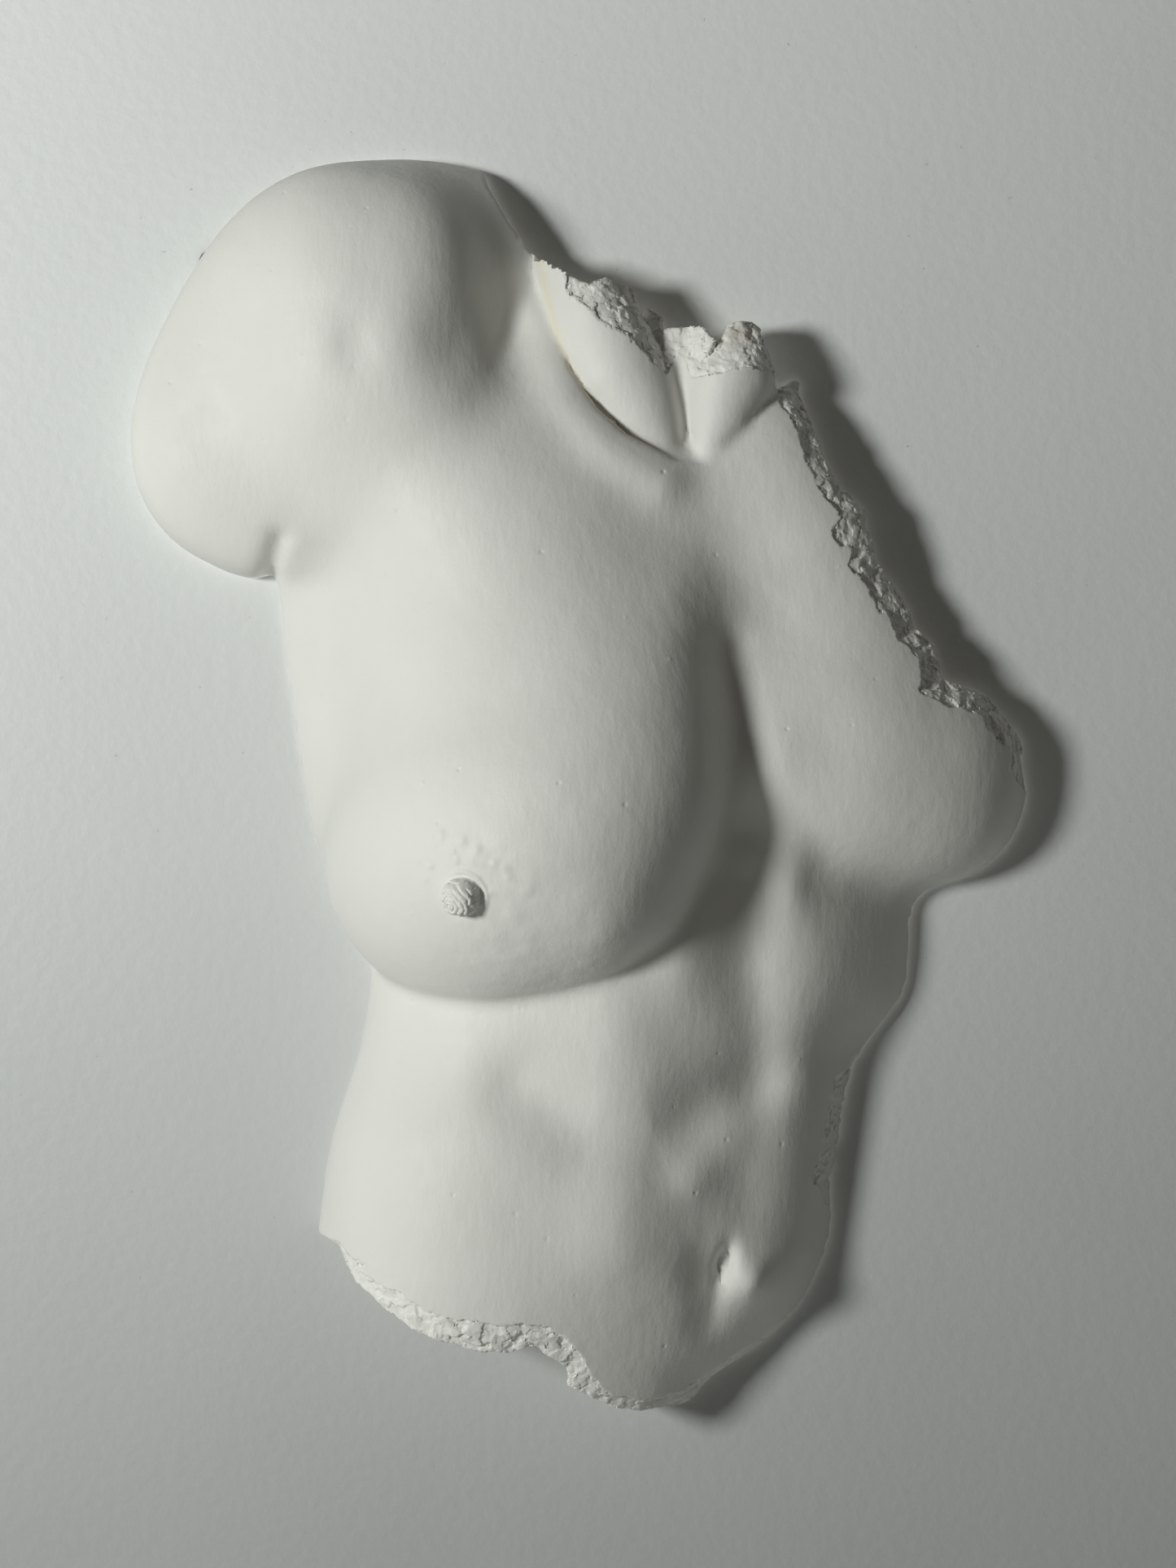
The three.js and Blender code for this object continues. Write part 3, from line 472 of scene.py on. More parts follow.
def nipple_detail(f, p):
    right, up, out = nipple_offsets(p)
    near = np.flatnonzero((np.abs(right) < 60) & (np.abs(up) < 60) & (np.abs(out) < 30))
    if not near.size:
        return f
    right, up, out = right[near], up[near], out[near]
    q = [axis[near] for axis in p]
    g = f[near]
    radius = np.hypot(right, up)
    for bump_right, bump_up, size, height in BUMPS:
        squared = (right - bump_right) ** 2 + (up - bump_up) ** 2
        g = g - height * np.exp(-squared / size**2)
    mottled = np.exp(-((right - 26) ** 2 + (up + 16) ** 2) / 34**2)
    g = g - 0.3 * mottled * noise(q, 6.5, 21) - 0.12 * np.exp(-radius / 30) * noise(q, 3.5, 22)
    fold = np.clip((right + up) / 12, 0, 1) * np.exp(-((radius - 10.6) / 1.1) ** 2)
    g = g - 0.7 * fold
    knob = power_shape([right, up, out - NIPPLE_SINK], NIPPLE_RADII, 2.5)
    swirl = np.hypot(right + 2.5, up + 3) + 1.5 * noise(q, 4.0, 23) + 0.5 * noise(q, 2.0, 24)
    folds = np.abs(np.sin(math.pi * swirl / 2.3)) - 0.5
    knob = knob - 0.55 * folds * np.clip((out - 1) / 3, 0, 1) - 0.15 * noise(q, 1.1, 25)
    f = f.copy()
    f[near] = smooth_min(g, knob, 1.4)
    return f


def skin_detail(p):
    """Height of the navel's folds, of the plaster's unevenness and of its pits and pimples."""
    height = 0.16 * noise(p, 16, 31) + 0.07 * noise(p, 6, 32) + 0.03 * noise(p, 2.6, 33)
    height = height + NAVEL(p[0], p[2])
    for x, z, radius, rise in MARKS:
        near = np.flatnonzero((np.abs(p[0] - x) < 3 * radius) & (np.abs(p[2] - z) < 3 * radius))
        squared = (p[0][near] - x) ** 2 + (p[2][near] - z) ** 2
        height[near] += rise * np.exp(-squared / radius**2)
    return height


def break_face(f, edge, slope, chips=0.0, wobble=0.0):
    """Distance to what the break leaves: a low cliff at the skin, a slope, then a sheer side."""
    run = np.maximum(BREAK_RUN * slope, 0.1)
    fall = SHALLOW_BREAK + DEEP_BREAK * ramp(slope, 1, 2)
    depth = np.maximum(CLIFF + fall * ramp(edge, 0, run) + chips, 0.25)
    return np.maximum(np.minimum(edge + wobble, f + depth), edge - run + 0.6 * wobble)


def break_surface(f, p, fine):
    """The broken edge with its wandering line and its chipped face."""
    edge, slope = BREAK_EDGE(p[0], p[2]), BREAK_SLOPE(p[0], p[2])
    cut = break_face(f, edge, slope)
    near = np.flatnonzero((np.abs(edge - 8) < 26) & (f < 14) & (f > -45))
    q = [axis[near] for axis in p]
    share = np.clip(0.25 + 1.2 * slope[near], 0, 1)
    flat = [q[0], np.zeros_like(q[0]), q[2]]
    wobble = share * (2.0 * noise(flat, 16, 41) + 1.6 * noise(flat, 6, 42))
    chips = 1.1 * facets(q, 7, 43) + 0.5 * noise(q, 5, 48)
    if fine:
        chips = chips + 0.5 * facets(q, 3.2, 46)
        wobble = wobble + share * 0.9 * facets(flat, 4, 45)
    cut[near] = break_face(f[near], edge[near], slope[near], share * chips, wobble)
    return cut


def hollow_field(f, p):
    """Distance to the hollow behind the skin, from the body's own distance f."""
    rim = BREAK_EDGE(p[0], p[2]) + RIM_THICKNESS
    return smooth_max(f + SHELL_THICKNESS, rim, HOLLOW_ROUNDING)


def shell_field(p, fine=True):
    """Distance to the plaster shell: its skin, its broken edge, its flat back and its hollow."""
    f = body(p)
    skin = nipple_detail(f, p)
    if fine:
        skin = skin - skin_detail(p)
    outer = np.maximum(np.maximum(skin, break_surface(f, p, fine)), PLASTER_BACK - p[1])
    return np.maximum(outer, -hollow_field(f, p))


def lining_field(p):
    """Distance to the scrim lining, a thin lumpy sheet inside the hollow."""
    hollow = hollow_field(body(p), p)
    inner = hollow + LINING_GAP + LINING_THICKNESS + 0.6 * noise(p, 22, 51) + 0.3 * noise(p, 8, 52)
    ragged = 1.6 * noise([p[0], p[2], p[2]], 9, 53)
    sheet = np.maximum(hollow + LINING_GAP, -inner)
    return np.maximum(sheet, LINING_EDGE + ragged - p[1])


# ---------------------------------------------------------------- meshes from fields

BLOCK = 4


def field_grid(field, cell):
    """Reads a field at every cell corner, but only roughly where a whole block is far from it."""
    counts = [int(math.ceil((h - l) / (cell * BLOCK))) for l, h in zip(LOW, HIGH)]
    middle = [l + (np.arange(n) * BLOCK + (BLOCK - 1) / 2) * cell for l, n in zip(LOW, counts)]
    rough = field([axis.ravel() for axis in np.meshgrid(*middle, indexing="ij")])
    rough = rough.reshape(counts)
    far = BLOCK * cell * 1.4
    values = np.clip(rough, -far, far)
    for axis in range(3):
        values = np.repeat(values, BLOCK, axis)
    near = np.argwhere(np.abs(values) < far)
    points = [LOW[axis] + near[:, axis] * cell for axis in range(3)]
    values[tuple(near.T)] = field(points)
    return values


def wrap(field, cell):
    """A quad mesh round a field's zero level: points as (3, n) and faces as tuples."""
    grid = openvdb.FloatGrid(background=BLOCK * cell)
    grid.copyFromArray(field_grid(field, cell).astype(np.float32))
    points, quads = grid.convertToQuads(isovalue=0.0)
    points = LOW[:, None] + points.T.astype(float) * cell
    corners = points[:, quads]
    cross = np.cross(corners[:, :, 2] - corners[:, :, 0], corners[:, :, 3] - corners[:, :, 1],
                     axis=0)
    volume = (cross * corners.mean(2)).sum()
    # (x, d, z) is left-handed, so a face that looks out has a negative share of the volume here.
    faces = quads if volume < 0 else quads[:, ::-1]
    return points, [tuple(face) for face in faces.tolist()]


def subdivide(points, faces, wanted):
    """Splits each wanted quad in four. Its neighbours keep the new points on their borders."""
    split = [len(face) == 4 and want for face, want in zip(faces, wanted)]
    middle = {}
    for face, is_split in zip(faces, split):
        if is_split:
            for a, b in zip(face, face[1:] + face[:1]):
                middle.setdefault((min(a, b), max(a, b)), None)
    pairs = np.array(list(middle))
    added = [points, (points[:, pairs[:, 0]] + points[:, pairs[:, 1]]) / 2]
    for number, pair in enumerate(middle):
        middle[pair] = points.shape[1] + number
    count = points.shape[1] + len(middle)
    centres, made = [], []
    for face, is_split in zip(faces, split):
        halves = [middle.get((min(a, b), max(a, b))) for a, b in zip(face, face[1:] + face[:1])]
        if is_split:
            for i, corner in enumerate(face):
                made.append((corner, halves[i], count, halves[i - 1]))
            centres.append(face)
            count += 1
        elif any(half is not None for half in halves):
            ring = [n for pair in zip(face, halves) for n in pair if n is not None]
            made.append(tuple(ring))
        else:
            made.append(face)
    added.append(points[:, np.array(centres)].mean(2))
    return np.concatenate(added, 1), made


def settle(points, field, reach, rounds=2):
    """Moves points onto a field's zero level along its slope, by no more than reach a round."""
    for _ in range(rounds):
        p = [points[axis] for axis in range(3)]
        slope = gradient(field, p, 0.25)
        steepness = np.maximum(np.linalg.norm(slope, axis=0), 0.3)
        step = np.clip(field(p) / steepness, -reach, reach)
        points = points - step * slope / steepness
    return points


def detail_levels(p):
    """How many times to split the mesh at each point."""
    f = body(p)
    edge, slope = BREAK_EDGE(p[0], p[2]), BREAK_SLOPE(p[0], p[2])
    on_break = (p[1] > PLASTER_BACK + 1) & (edge > -5) & (f > -9 - DEEP_BREAK * ramp(slope, 1, 2))
    levels = np.where(on_break & (slope > 0.1), 2, 0)
    right, up, out = nipple_offsets(p)
    radius = np.where(np.abs(out) < 14, np.hypot(right, up), 99)
    levels = np.maximum(levels, np.where(radius < 36, 1, 0))
    levels = np.maximum(levels, np.where(radius < 14, 3, 0))
    for x, z, size, _ in MARKS:
        squared = (p[0] - x) ** 2 + (p[2] - z) ** 2
        levels[(squared < (2.6 + size) ** 2) & (np.abs(f) < 1.5)] = 2
    return levels


SHELL_CELL = 2.4
LINING_CELL = 2.6


def shell_surface():
    points, faces = wrap(lambda p: shell_field(p, fine=False), SHELL_CELL)
    for level in range(3):
        middles = np.array([points[:, face].mean(1) for face in faces]).T
        wanted = detail_levels([middles[axis] for axis in range(3)]) > level
        points, faces = subdivide(points, faces, wanted)
    return settle(points, shell_field, 0.8, 3), faces


# ---------------------------------------------------------------- pieces

# The upper batten's left end and top, in the relief's own millimetres, tie it to the frame.
BATTEN_CORNER = Vector((-80, 0, 120)) * MM
batten_low, batten_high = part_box("upper_batten")
RELIEF_AT = Vector((batten_low.x, 0, batten_high.z)) - BATTEN_CORNER


def to_frame(points):
    """Relief millimetres (x, d, z) as metres in the row's frame."""
    placed = np.array([points[0], -points[1], points[2]]).T * MM
    return placed + np.array(RELIEF_AT)


def add_object(name, mesh, body, material, node):
    piece = bpy.data.objects.new(name, mesh)
    bpy.context.scene.collection.objects.link(piece)
    mesh.materials.clear()
    mesh.materials.append(material)
    for polygon in mesh.polygons:
        polygon.use_smooth = True
    mesh.set_sharp_from_angle(angle=math.radians(48))
    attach(piece, body)
    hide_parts(node)
    return piece


def mesh_from(name, vertices, faces):
    mesh = bpy.data.meshes.new(name)
    mesh.from_pydata([tuple(v) for v in vertices], [], faces)
    mesh.update()
    return mesh


def mark_points(mesh, name, values):
    attribute = mesh.attributes.new(name, "FLOAT", "POINT")
    attribute.data.foreach_set("value", np.asarray(values, np.float32))


def torso_shell(material):
    points, faces = shell_surface()
    p = [points[axis] for axis in range(3)]
    mesh = mesh_from("torso_cast", to_frame(points), faces)
    f = body(p)
    edge = BREAK_EDGE(p[0], p[2])
    mark_points(mesh, "broken", ramp(-f, 0.3, 0.9) * ramp(edge, -6, -4))
    seam = np.exp(-(HOLLOW_EDGE(p[0], p[2]) / 1.8) ** 2)
    mark_points(mesh, "seam", seam * np.clip((40 - p[0]) / 40, 0, 1))
    mark_points(mesh, "inside", np.clip((-6 - f) / 4, 0, 1))
    return add_object("torso_cast", mesh, "cast", material, "torso_shell")


def scrim_lining(material):
    points, faces = wrap(lining_field, LINING_CELL)
    mesh = mesh_from("jute_lining", to_frame(points), faces)
    return add_object("jute_lining", mesh, "cast", material, "scrim_lining")


def mesh_from_bmesh(name, bm):
    mesh = bpy.data.meshes.new(name)
    bmesh.ops.recalc_face_normals(bm, faces=bm.faces)
    bm.to_mesh(mesh)
    bm.free()
    return mesh


def sawn_batten(node, material):
    """A sawn batten with worn edges and slightly uneven faces."""
    low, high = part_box(node)
    bm = bmesh.new()
    bmesh.ops.create_cube(bm, size=1)
    for vertex in bm.verts:
        vertex.co = [(l + h) / 2 + c * (h - l) for l, h, c in zip(low, high, vertex.co)]
    bmesh.ops.bevel(bm, geom=bm.edges[:], offset=1.1 * MM, segments=3, affect="EDGES", profile=0.6)
    long_edges = [e for e in bm.edges if abs(e.verts[0].co.x - e.verts[1].co.x) > 0.05]
    bmesh.ops.subdivide_edges(bm, edges=long_edges, cuts=47, use_grid_fill=True)
    places = np.array([v.co for v in bm.verts]).T / MM
    wear = 0.25 * noise(places, 12, 61) + 0.12 * noise(places, 4, 62)
    middle = (low + high) / 2
    for vertex, amount in zip(bm.verts, wear):
        side = Vector((0, vertex.co.y - middle.y, vertex.co.z - middle.z)).normalized()
        vertex.co -= side * (abs(amount) * MM)
    return add_object(node.replace("batten", "timber"), mesh_from_bmesh(node, bm), "cast",
                      material, node)


def plaster_wad(node, material, seed):
    """A hand-laid lump of plaster and jute in the place of its plain CAD solid."""
    source = bpy.data.objects.new("source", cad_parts[node].data.copy())
    bpy.context.scene.collection.objects.link(source)
    remesh = source.modifiers.new("remesh", "REMESH")
    remesh.mode = "VOXEL"
    remesh.voxel_size = 1.3 * MM
    smooth = source.modifiers.new("smooth", "SMOOTH")
    smooth.iterations = 3
    evaluated = source.evaluated_get(bpy.context.evaluated_depsgraph_get())
    mesh = bpy.data.meshes.new_from_object(evaluated)
    bpy.data.objects.remove(source)
    places = np.array([v.co for v in mesh.vertices]).T / MM
    normals = np.array([v.normal for v in mesh.vertices])
    lumps = 0.9 + 0.8 * noise(places, 9, seed) + 0.45 * noise(places, 4, seed + 1)
    strands = np.abs(np.sin(places[0] / 1.7 + 3 * noise(places, 14, seed + 2)))
    depth = np.clip(lumps, 0.1, None) + 0.35 * strands
    moved = places.T * MM - normals * depth[:, None] * MM
    mesh.vertices.foreach_set("co", moved.astype(np.float32).ravel())
    mesh.update()
    return add_object(node.replace("wad", "dollop"), mesh, "cast", material, node)


# Ring hangers and their screws, as in the CAD, in millimetres, and how finely each is drawn.
WIRE_RADIUS = 1.5
RING_BAR = 18.0
RING_HEIGHT = 18.0
RING_CORNER = 3.0
RING_SPLIT = 0.6
STRAP_WIDTH = 12.0
STRAP_THICKNESS = 1.2
STRAP_LEG = 30.0
WIRE_PLAY = 0.15
CURL_RADIUS = WIRE_RADIUS + WIRE_PLAY + STRAP_THICKNESS
CURL_TURN = 290
HEAD_HEIGHT = 1.8
SCREW_SHANK = 1.5
SCREW_TIP = 3.0
SLOT_WIDTH = 0.9
SLOT_DEPTH = 0.75
RING_STEPS = 120
WIRE_SIDES = 20
CURL_STEPS = 40
DOME_STEPS = 8
SCREW_SIDES = 40
PAD_SIDES = 72


def ring_point(t):
    """A point along the ring's wire: half the bar, a corner, the round bow and back again."""
    bow = RING_BAR / 2
    rise = RING_HEIGHT - bow
    straight = bow - RING_CORNER - RING_SPLIT / 2
    quarter = math.pi / 2 * RING_CORNER
    side = rise - RING_CORNER
    half = straight + quarter + side + math.pi / 2 * bow
    mirror = -1 if t > 0.5 else 1
    s = 2 * half * (1 - t if t > 0.5 else t)
    if s <= straight:
        return mirror * (RING_SPLIT / 2 + s), 0
    if s <= straight + quarter:
        angle = (s - straight) / RING_CORNER
        across = bow - RING_CORNER + RING_CORNER * math.sin(angle)
        return mirror * across, RING_CORNER - RING_CORNER * math.cos(angle)
    if s <= straight + quarter + side:
        return mirror * bow, RING_CORNER + s - straight - quarter
    s -= straight + quarter + side
    return mirror * bow * math.cos(s / bow), rise + bow * math.sin(s / bow)


def hanger_ring(side, material):
    low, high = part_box(f"{side}_ring")
    bar = Vector(((low.x + high.x) / 2, (low.y + high.y) / 2, low.z + WIRE_RADIUS * MM))
    steps, sides = RING_STEPS, WIRE_SIDES
    centres = [Vector((x, 0, z)) for x, z in (ring_point(n / steps) for n in range(steps + 1))]
    vertices, faces = [], []
    for n, centre in enumerate(centres):
        along = centres[min(n + 1, steps)] - centres[max(n - 1, 0)]
        across = along.cross(Vector((0, 1, 0))).normalized()
        end = min(n, steps - n)
        radius = WIRE_RADIUS * (1, 0.96, 0.78)[2 - min(end, 2)]
        for k in range(sides):
            angle = 2 * math.pi * k / sides
            offset = across * math.cos(angle) + Vector((0, 1, 0)) * math.sin(angle)
            vertices.append(bar + (centre + offset * radius) * MM)
    for n in range(steps):
        for k in range(sides):
            m = (k + 1) % sides
            faces.append((n * sides + k, n * sides + m, (n + 1) * sides + m, (n + 1) * sides + k))
    faces.append(tuple(range(sides)))
    faces.append(tuple(steps * sides + k for k in reversed(range(sides))))
    rough = mesh_from("ring", vertices, faces)
    bm = bmesh.new()
    bm.from_mesh(rough)
    bpy.data.meshes.remove(rough)
    mesh = mesh_from_bmesh(f"{side}_hanging_ring", bm)
    return add_object(f"{side}_hanging_ring", mesh, f"{side}_ring", material, f"{side}_ring")


def hanger_strap(side, material):
    """The strap's side view, drawn out across its width, with its edges rounded over."""
    low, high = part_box(f"{side}_strap")
    ring_low, ring_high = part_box(f"{side}_ring")
    bar = Vector(((low.x + high.x) / 2, (ring_low.y + ring_high.y) / 2,
                  ring_low.z + WIRE_RADIUS * MM))
    outer, inner = [], []
    for n in range(CURL_STEPS + 1):
        angle = math.radians(CURL_TURN * n / CURL_STEPS)
        for radius, line in ((CURL_RADIUS, outer), (CURL_RADIUS - STRAP_THICKNESS, inner)):
            line.append((radius * math.cos(angle), radius * math.sin(angle)))
    profile = [(CURL_RADIUS, -STRAP_LEG)] + outer + inner[::-1]
    profile.append((CURL_RADIUS - STRAP_THICKNESS, -STRAP_LEG))
    bm = bmesh.new()
    face = bm.faces.new([bm.verts.new(bar + Vector((-STRAP_WIDTH / 2, -y, z)) * MM)
                         for y, z in profile])
    made = bmesh.ops.extrude_face_region(bm, geom=[face])
    moved = [v for v in made["geom"] if isinstance(v, bmesh.types.BMVert)]
    bmesh.ops.translate(bm, verts=moved, vec=Vector((STRAP_WIDTH * MM, 0, 0)))
    rims = [e for e in bm.edges
            if abs(e.verts[0].co.x - e.verts[1].co.x) < 0.1 * MM
            or e.calc_face_angle(0) > math.radians(60)]
    bmesh.ops.bevel(bm, geom=rims, offset=0.28 * MM, segments=2, affect="EDGES",
                    clamp_overlap=True)
    return add_object(f"{side}_hanger_strap", mesh_from_bmesh(f"{side}_hanger_strap", bm), "cast",
                      material, f"{side}_strap")


def revolve(profile, sides):
    """A body turned about the Y axis from a profile of (radius, y) that starts and ends on it."""
    bm = bmesh.new()
    rings = []
    for r, y in profile:
        angles = [2 * math.pi * k / sides for k in range(sides if r else 1)]
        rings.append([bm.verts.new((r * math.cos(a), y, r * math.sin(a))) for a in angles])
    for near, far in zip(rings, rings[1:]):
        for k in range(sides):
            m = (k + 1) % sides
            loop = [near[k % len(near)], near[m % len(near)], far[m % len(far)], far[k % len(far)]]
            bm.faces.new(list(dict.fromkeys(loop)))
    return bm


def slotted_screw(node, material, turn):
    """A round-head wood screw: a revolved head and shank, with a slot cut across the head."""
    low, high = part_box(node)
    radius, length = (high.x - low.x) / 2, high.y - low.y
    head, shank, tip = HEAD_HEIGHT * MM, SCREW_SHANK * MM, SCREW_TIP * MM
    profile = [(0, 0)]
    for n in range(1, DOME_STEPS + 1):
        angle = math.pi / 2 * n / DOME_STEPS
        profile.append((radius * math.sin(angle) ** 0.8, head * (1 - math.cos(angle)) * 0.75))
    profile += [(radius, head), (shank, head), (shank, length - tip), (0, length)]
    blank = mesh_from_bmesh("blank", revolve(profile, SCREW_SIDES))
    cutter_bm = bmesh.new()
    bmesh.ops.create_cube(cutter_bm, size=1)
    for vertex in cutter_bm.verts:
        vertex.co = Vector((vertex.co.x * 2.4 * radius, vertex.co.y * 2 * SLOT_DEPTH * MM,
                            vertex.co.z * SLOT_WIDTH * MM))
    cutter = bpy.data.objects.new("cutter", mesh_from_bmesh("cutter", cutter_bm))
    source = bpy.data.objects.new("source", blank)
    for item in (cutter, source):
        bpy.context.scene.collection.objects.link(item)
    cut = source.modifiers.new("slot", "BOOLEAN")
    cut.operation, cut.object, cut.solver = "DIFFERENCE", cutter, "EXACT"
    evaluated = source.evaluated_get(bpy.context.evaluated_depsgraph_get())
    mesh = bpy.data.meshes.new_from_object(evaluated)
    bpy.data.objects.remove(source)
    bpy.data.objects.remove(cutter)
    # The head is on the wall's side, so the screw runs away from the wall.
    middle = Vector(((low.x + high.x) / 2, high.y, (low.z + high.z) / 2))
    turned = Matrix.Rotation(math.radians(turn), 4, "Y")
    mesh.transform(Matrix.Translation(middle) @ turned @ Matrix.Scale(-1, 4, (0, 1, 0)))
    mesh.flip_normals()
    return add_object(node.replace("screw", "slot_screw"), mesh, "cast", material, node)


def felt_pad(node, material, seed):
    """A punched felt disc with a soft rounded edge and a slightly fuzzy face."""
    low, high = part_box(node)
    middle, radius, half = (low + high) / 2, (high.x - low.x) / 2, (high.y - low.y) / 2
    profile = [(0, half)]
    profile += [(radius * 0.9 * n / 5, half) for n in range(1, 6)]
    for n in range(1, 8):
        angle = math.pi * n / 8
        profile.append((radius * (0.93 + 0.07 * math.sin(angle)), half * math.cos(angle)))
    profile += [(radius * 0.9 * n / 5, -half) for n in range(5, 0, -1)]
    profile.append((0, -half))
    bm = revolve(profile, PAD_SIDES)
    places = np.array([v.co for v in bm.verts]).T / MM
    fuzz = 0.05 + 0.05 * noise(places + seed, 0.9, seed)
    for vertex, amount in zip(bm.verts, fuzz):
        vertex.co *= 1 - amount * MM / radius * 2
        vertex.co += middle
    return add_object(node.replace("pad", "felt_disc"), mesh_from_bmesh(node, bm), "cast",
                      material, node)


# ---------------------------------------------------------------- materials


class Nodes:
    """A material's node tree, built by short calls."""

    def __init__(self, name):
        self.material = bpy.data.materials.new(name)
        self.material.use_nodes = True
        self.tree = self.material.node_tree
        self.shader = self.tree.nodes["Principled BSDF"]
        self.output = self.tree.nodes["Material Output"]

    def add(self, kind, inputs=None, **settings):
        node = self.tree.nodes.new(kind)
        for key, value in settings.items():
            setattr(node, key, value)
        for key, value in (inputs or {}).items():
            self.put(node.inputs[key], value)
        return node

    def put(self, socket, value):
        if isinstance(value, bpy.types.NodeSocket):
            self.tree.links.new(value, socket)
        else:
            socket.default_value = value

    def coordinates(self, scale=(1, 1, 1)):
        place = self.add("ShaderNodeTexCoord")
        mapping = self.add("ShaderNodeMapping", {"Vector": place.outputs["Object"]})
        mapping.inputs["Scale"].default_value = scale
        return mapping.outputs["Vector"]

    def noise(self, size, detail=3.0, scale=(1, 1, 1), distortion=0.0):
        """Noise from 0 to 1 with lumps about size metres apart."""
        node = self.add("ShaderNodeTexNoise", {
            "Vector": self.coordinates(scale), "Scale": 1 / size, "Detail": detail,
            "Distortion": distortion})
        return node.outputs["Fac"]

    def wave(self, scale, density, distortion, detail, detail_scale=1.0, **settings):
        """Wavy bands or rings from 0 to 1, closer together for a larger density."""
        node = self.add("ShaderNodeTexWave", {
            "Vector": self.coordinates(scale), "Scale": density, "Distortion": distortion,
            "Detail": detail, "Detail Scale": detail_scale}, **settings)
        return node.outputs["Fac"]

    def surface(self, colour, roughness):
        self.put(self.shader.inputs["Base Color"], colour)
        self.put(self.shader.inputs["Roughness"], roughness)

    def attribute(self, name):
        return self.add("ShaderNodeAttribute", attribute_name=name).outputs["Fac"]

    def math(self, operation, a, b=0.0, clamp=False):
        node = self.add("ShaderNodeMath", operation=operation, use_clamp=clamp)
        self.put(node.inputs[0], a)
        self.put(node.inputs[1], b)
        return node.outputs[0]

    def spread(self, value, low, high, to_low=0.0, to_high=1.0):
        node = self.add("ShaderNodeMapRange", {
            "Value": value, "From Min": low, "From Max": high, "To Min": to_low,
            "To Max": to_high})
        return node.outputs["Result"]

    def mix(self, share, a, b):
        node = self.add("ShaderNodeMix", data_type="RGBA")
        self.put(node.inputs["Factor"], share)
        for socket, value in zip(node.inputs[6:8], (a, b)):
            self.put(socket, value if isinstance(value, bpy.types.NodeSocket) else (*value, 1))
        return node.outputs[2]

    def bump(self, height, distance, strength=1.0):
        previous = self.shader.inputs["Normal"].links
        node = self.add("ShaderNodeBump", {
            "Height": height, "Distance": distance, "Strength": strength})
        if previous:
            self.tree.links.new(previous[0].from_socket, node.inputs["Normal"])
        self.tree.links.new(node.outputs["Normal"], self.shader.inputs["Normal"])


def plaster_material():
    """Smooth casting plaster, rougher and a little paler where it is broken."""
    n = Nodes("plaster")
    broken, seam, inside = (n.attribute(name) for name in ("broken", "seam", "inside"))
    cloud = n.spread(n.noise(0.07, 4), 0.3, 0.7)
    colour = n.mix(cloud, (0.72, 0.725, 0.69), (0.76, 0.76, 0.73))
    speck = n.spread(n.noise(0.0024, 2), 0.66, 0.74)
    colour = n.mix(n.math("MULTIPLY", speck, 0.16), colour, (0.60, 0.59, 0.54))
    grain = n.noise(0.0035, 5)
    fresh = n.mix(grain, (0.76, 0.76, 0.72), (0.84, 0.84, 0.81))
    colour = n.mix(broken, colour, fresh)
    colour = n.mix(n.math("MULTIPLY", seam, 0.55), colour, (0.74, 0.68, 0.50))
    dusty = n.mix(n.noise(0.02, 5), (0.66, 0.63, 0.56), (0.78, 0.76, 0.70))
    colour = n.mix(n.math("MULTIPLY", inside, 0.8), colour, dusty)
    satin = n.spread(n.noise(0.012, 4), 0.3, 0.7, 0.5, 0.6)
    n.surface(colour, n.math("ADD", satin, n.math("MULTIPLY", broken, 0.25), clamp=True))
    n.shader.inputs["Specular IOR Level"].default_value = 0.35
    n.bump(n.noise(0.0016, 4), 0.00008)
    n.bump(n.noise(0.005, 5, scale=(1.4, 1, 0.5)), 0.00022)
    n.bump(n.math("MULTIPLY", broken, n.noise(0.0012, 4)), 0.0002)
    return n.material


def scrim_material():
    """Open jute cloth soaked in plaster: two sets of threads half buried in white."""
    n = Nodes("scrim")
    threads = []
    for scale in ((1, 0.35, 0.15), (0.15, 0.35, 1)):
        across = "X" if scale[0] == 1 else "Z"
        threads.append(n.wave(scale, 130.0, 2.2, 3.0, 1.4, bands_direction=across))
    weave = n.math("MAXIMUM", *threads)
    buried = n.spread(n.noise(0.018, 5), 0.42, 0.62)
    shown = n.math("MULTIPLY", n.spread(weave, 0.55, 0.9), n.math("SUBTRACT", 1.0, buried))
    jute = n.mix(n.noise(0.004, 4), (0.40, 0.30, 0.17), (0.56, 0.45, 0.28))
    white = n.mix(n.noise(0.03, 4), (0.66, 0.63, 0.56), (0.77, 0.75, 0.70))
    colour = n.mix(n.math("MULTIPLY", shown, 0.75), white, jute)
    n.surface(colour, n.spread(buried, 0, 1, 0.95, 0.75))
    n.shader.inputs["Specular IOR Level"].default_value = 0.2
    n.bump(n.math("MULTIPLY", weave, n.math("SUBTRACT", 1.0, buried)), 0.0009)
    n.bump(n.noise(0.003, 5), 0.0005)
    return n.material


def dollop_material():
    """Rough plaster worked in by hand, with jute strands showing through."""
    n = Nodes("wad_plaster")
    strand = n.wave((1, 1, 0.3), 190.0, 7.0, 4.0, 2.0)
    shown = n.math("MULTIPLY", n.spread(strand, 0.72, 0.9), n.spread(n.noise(0.009, 3), 0.5, 0.6))
    white = n.mix(n.noise(0.012, 5), (0.68, 0.66, 0.60), (0.79, 0.78, 0.74))
    colour = n.mix(shown, white, (0.50, 0.39, 0.24))
    n.surface(colour, n.spread(n.noise(0.01, 3), 0.3, 0.7, 0.75, 0.92))
    n.bump(n.noise(0.0022, 6), 0.0007)
    return n.material


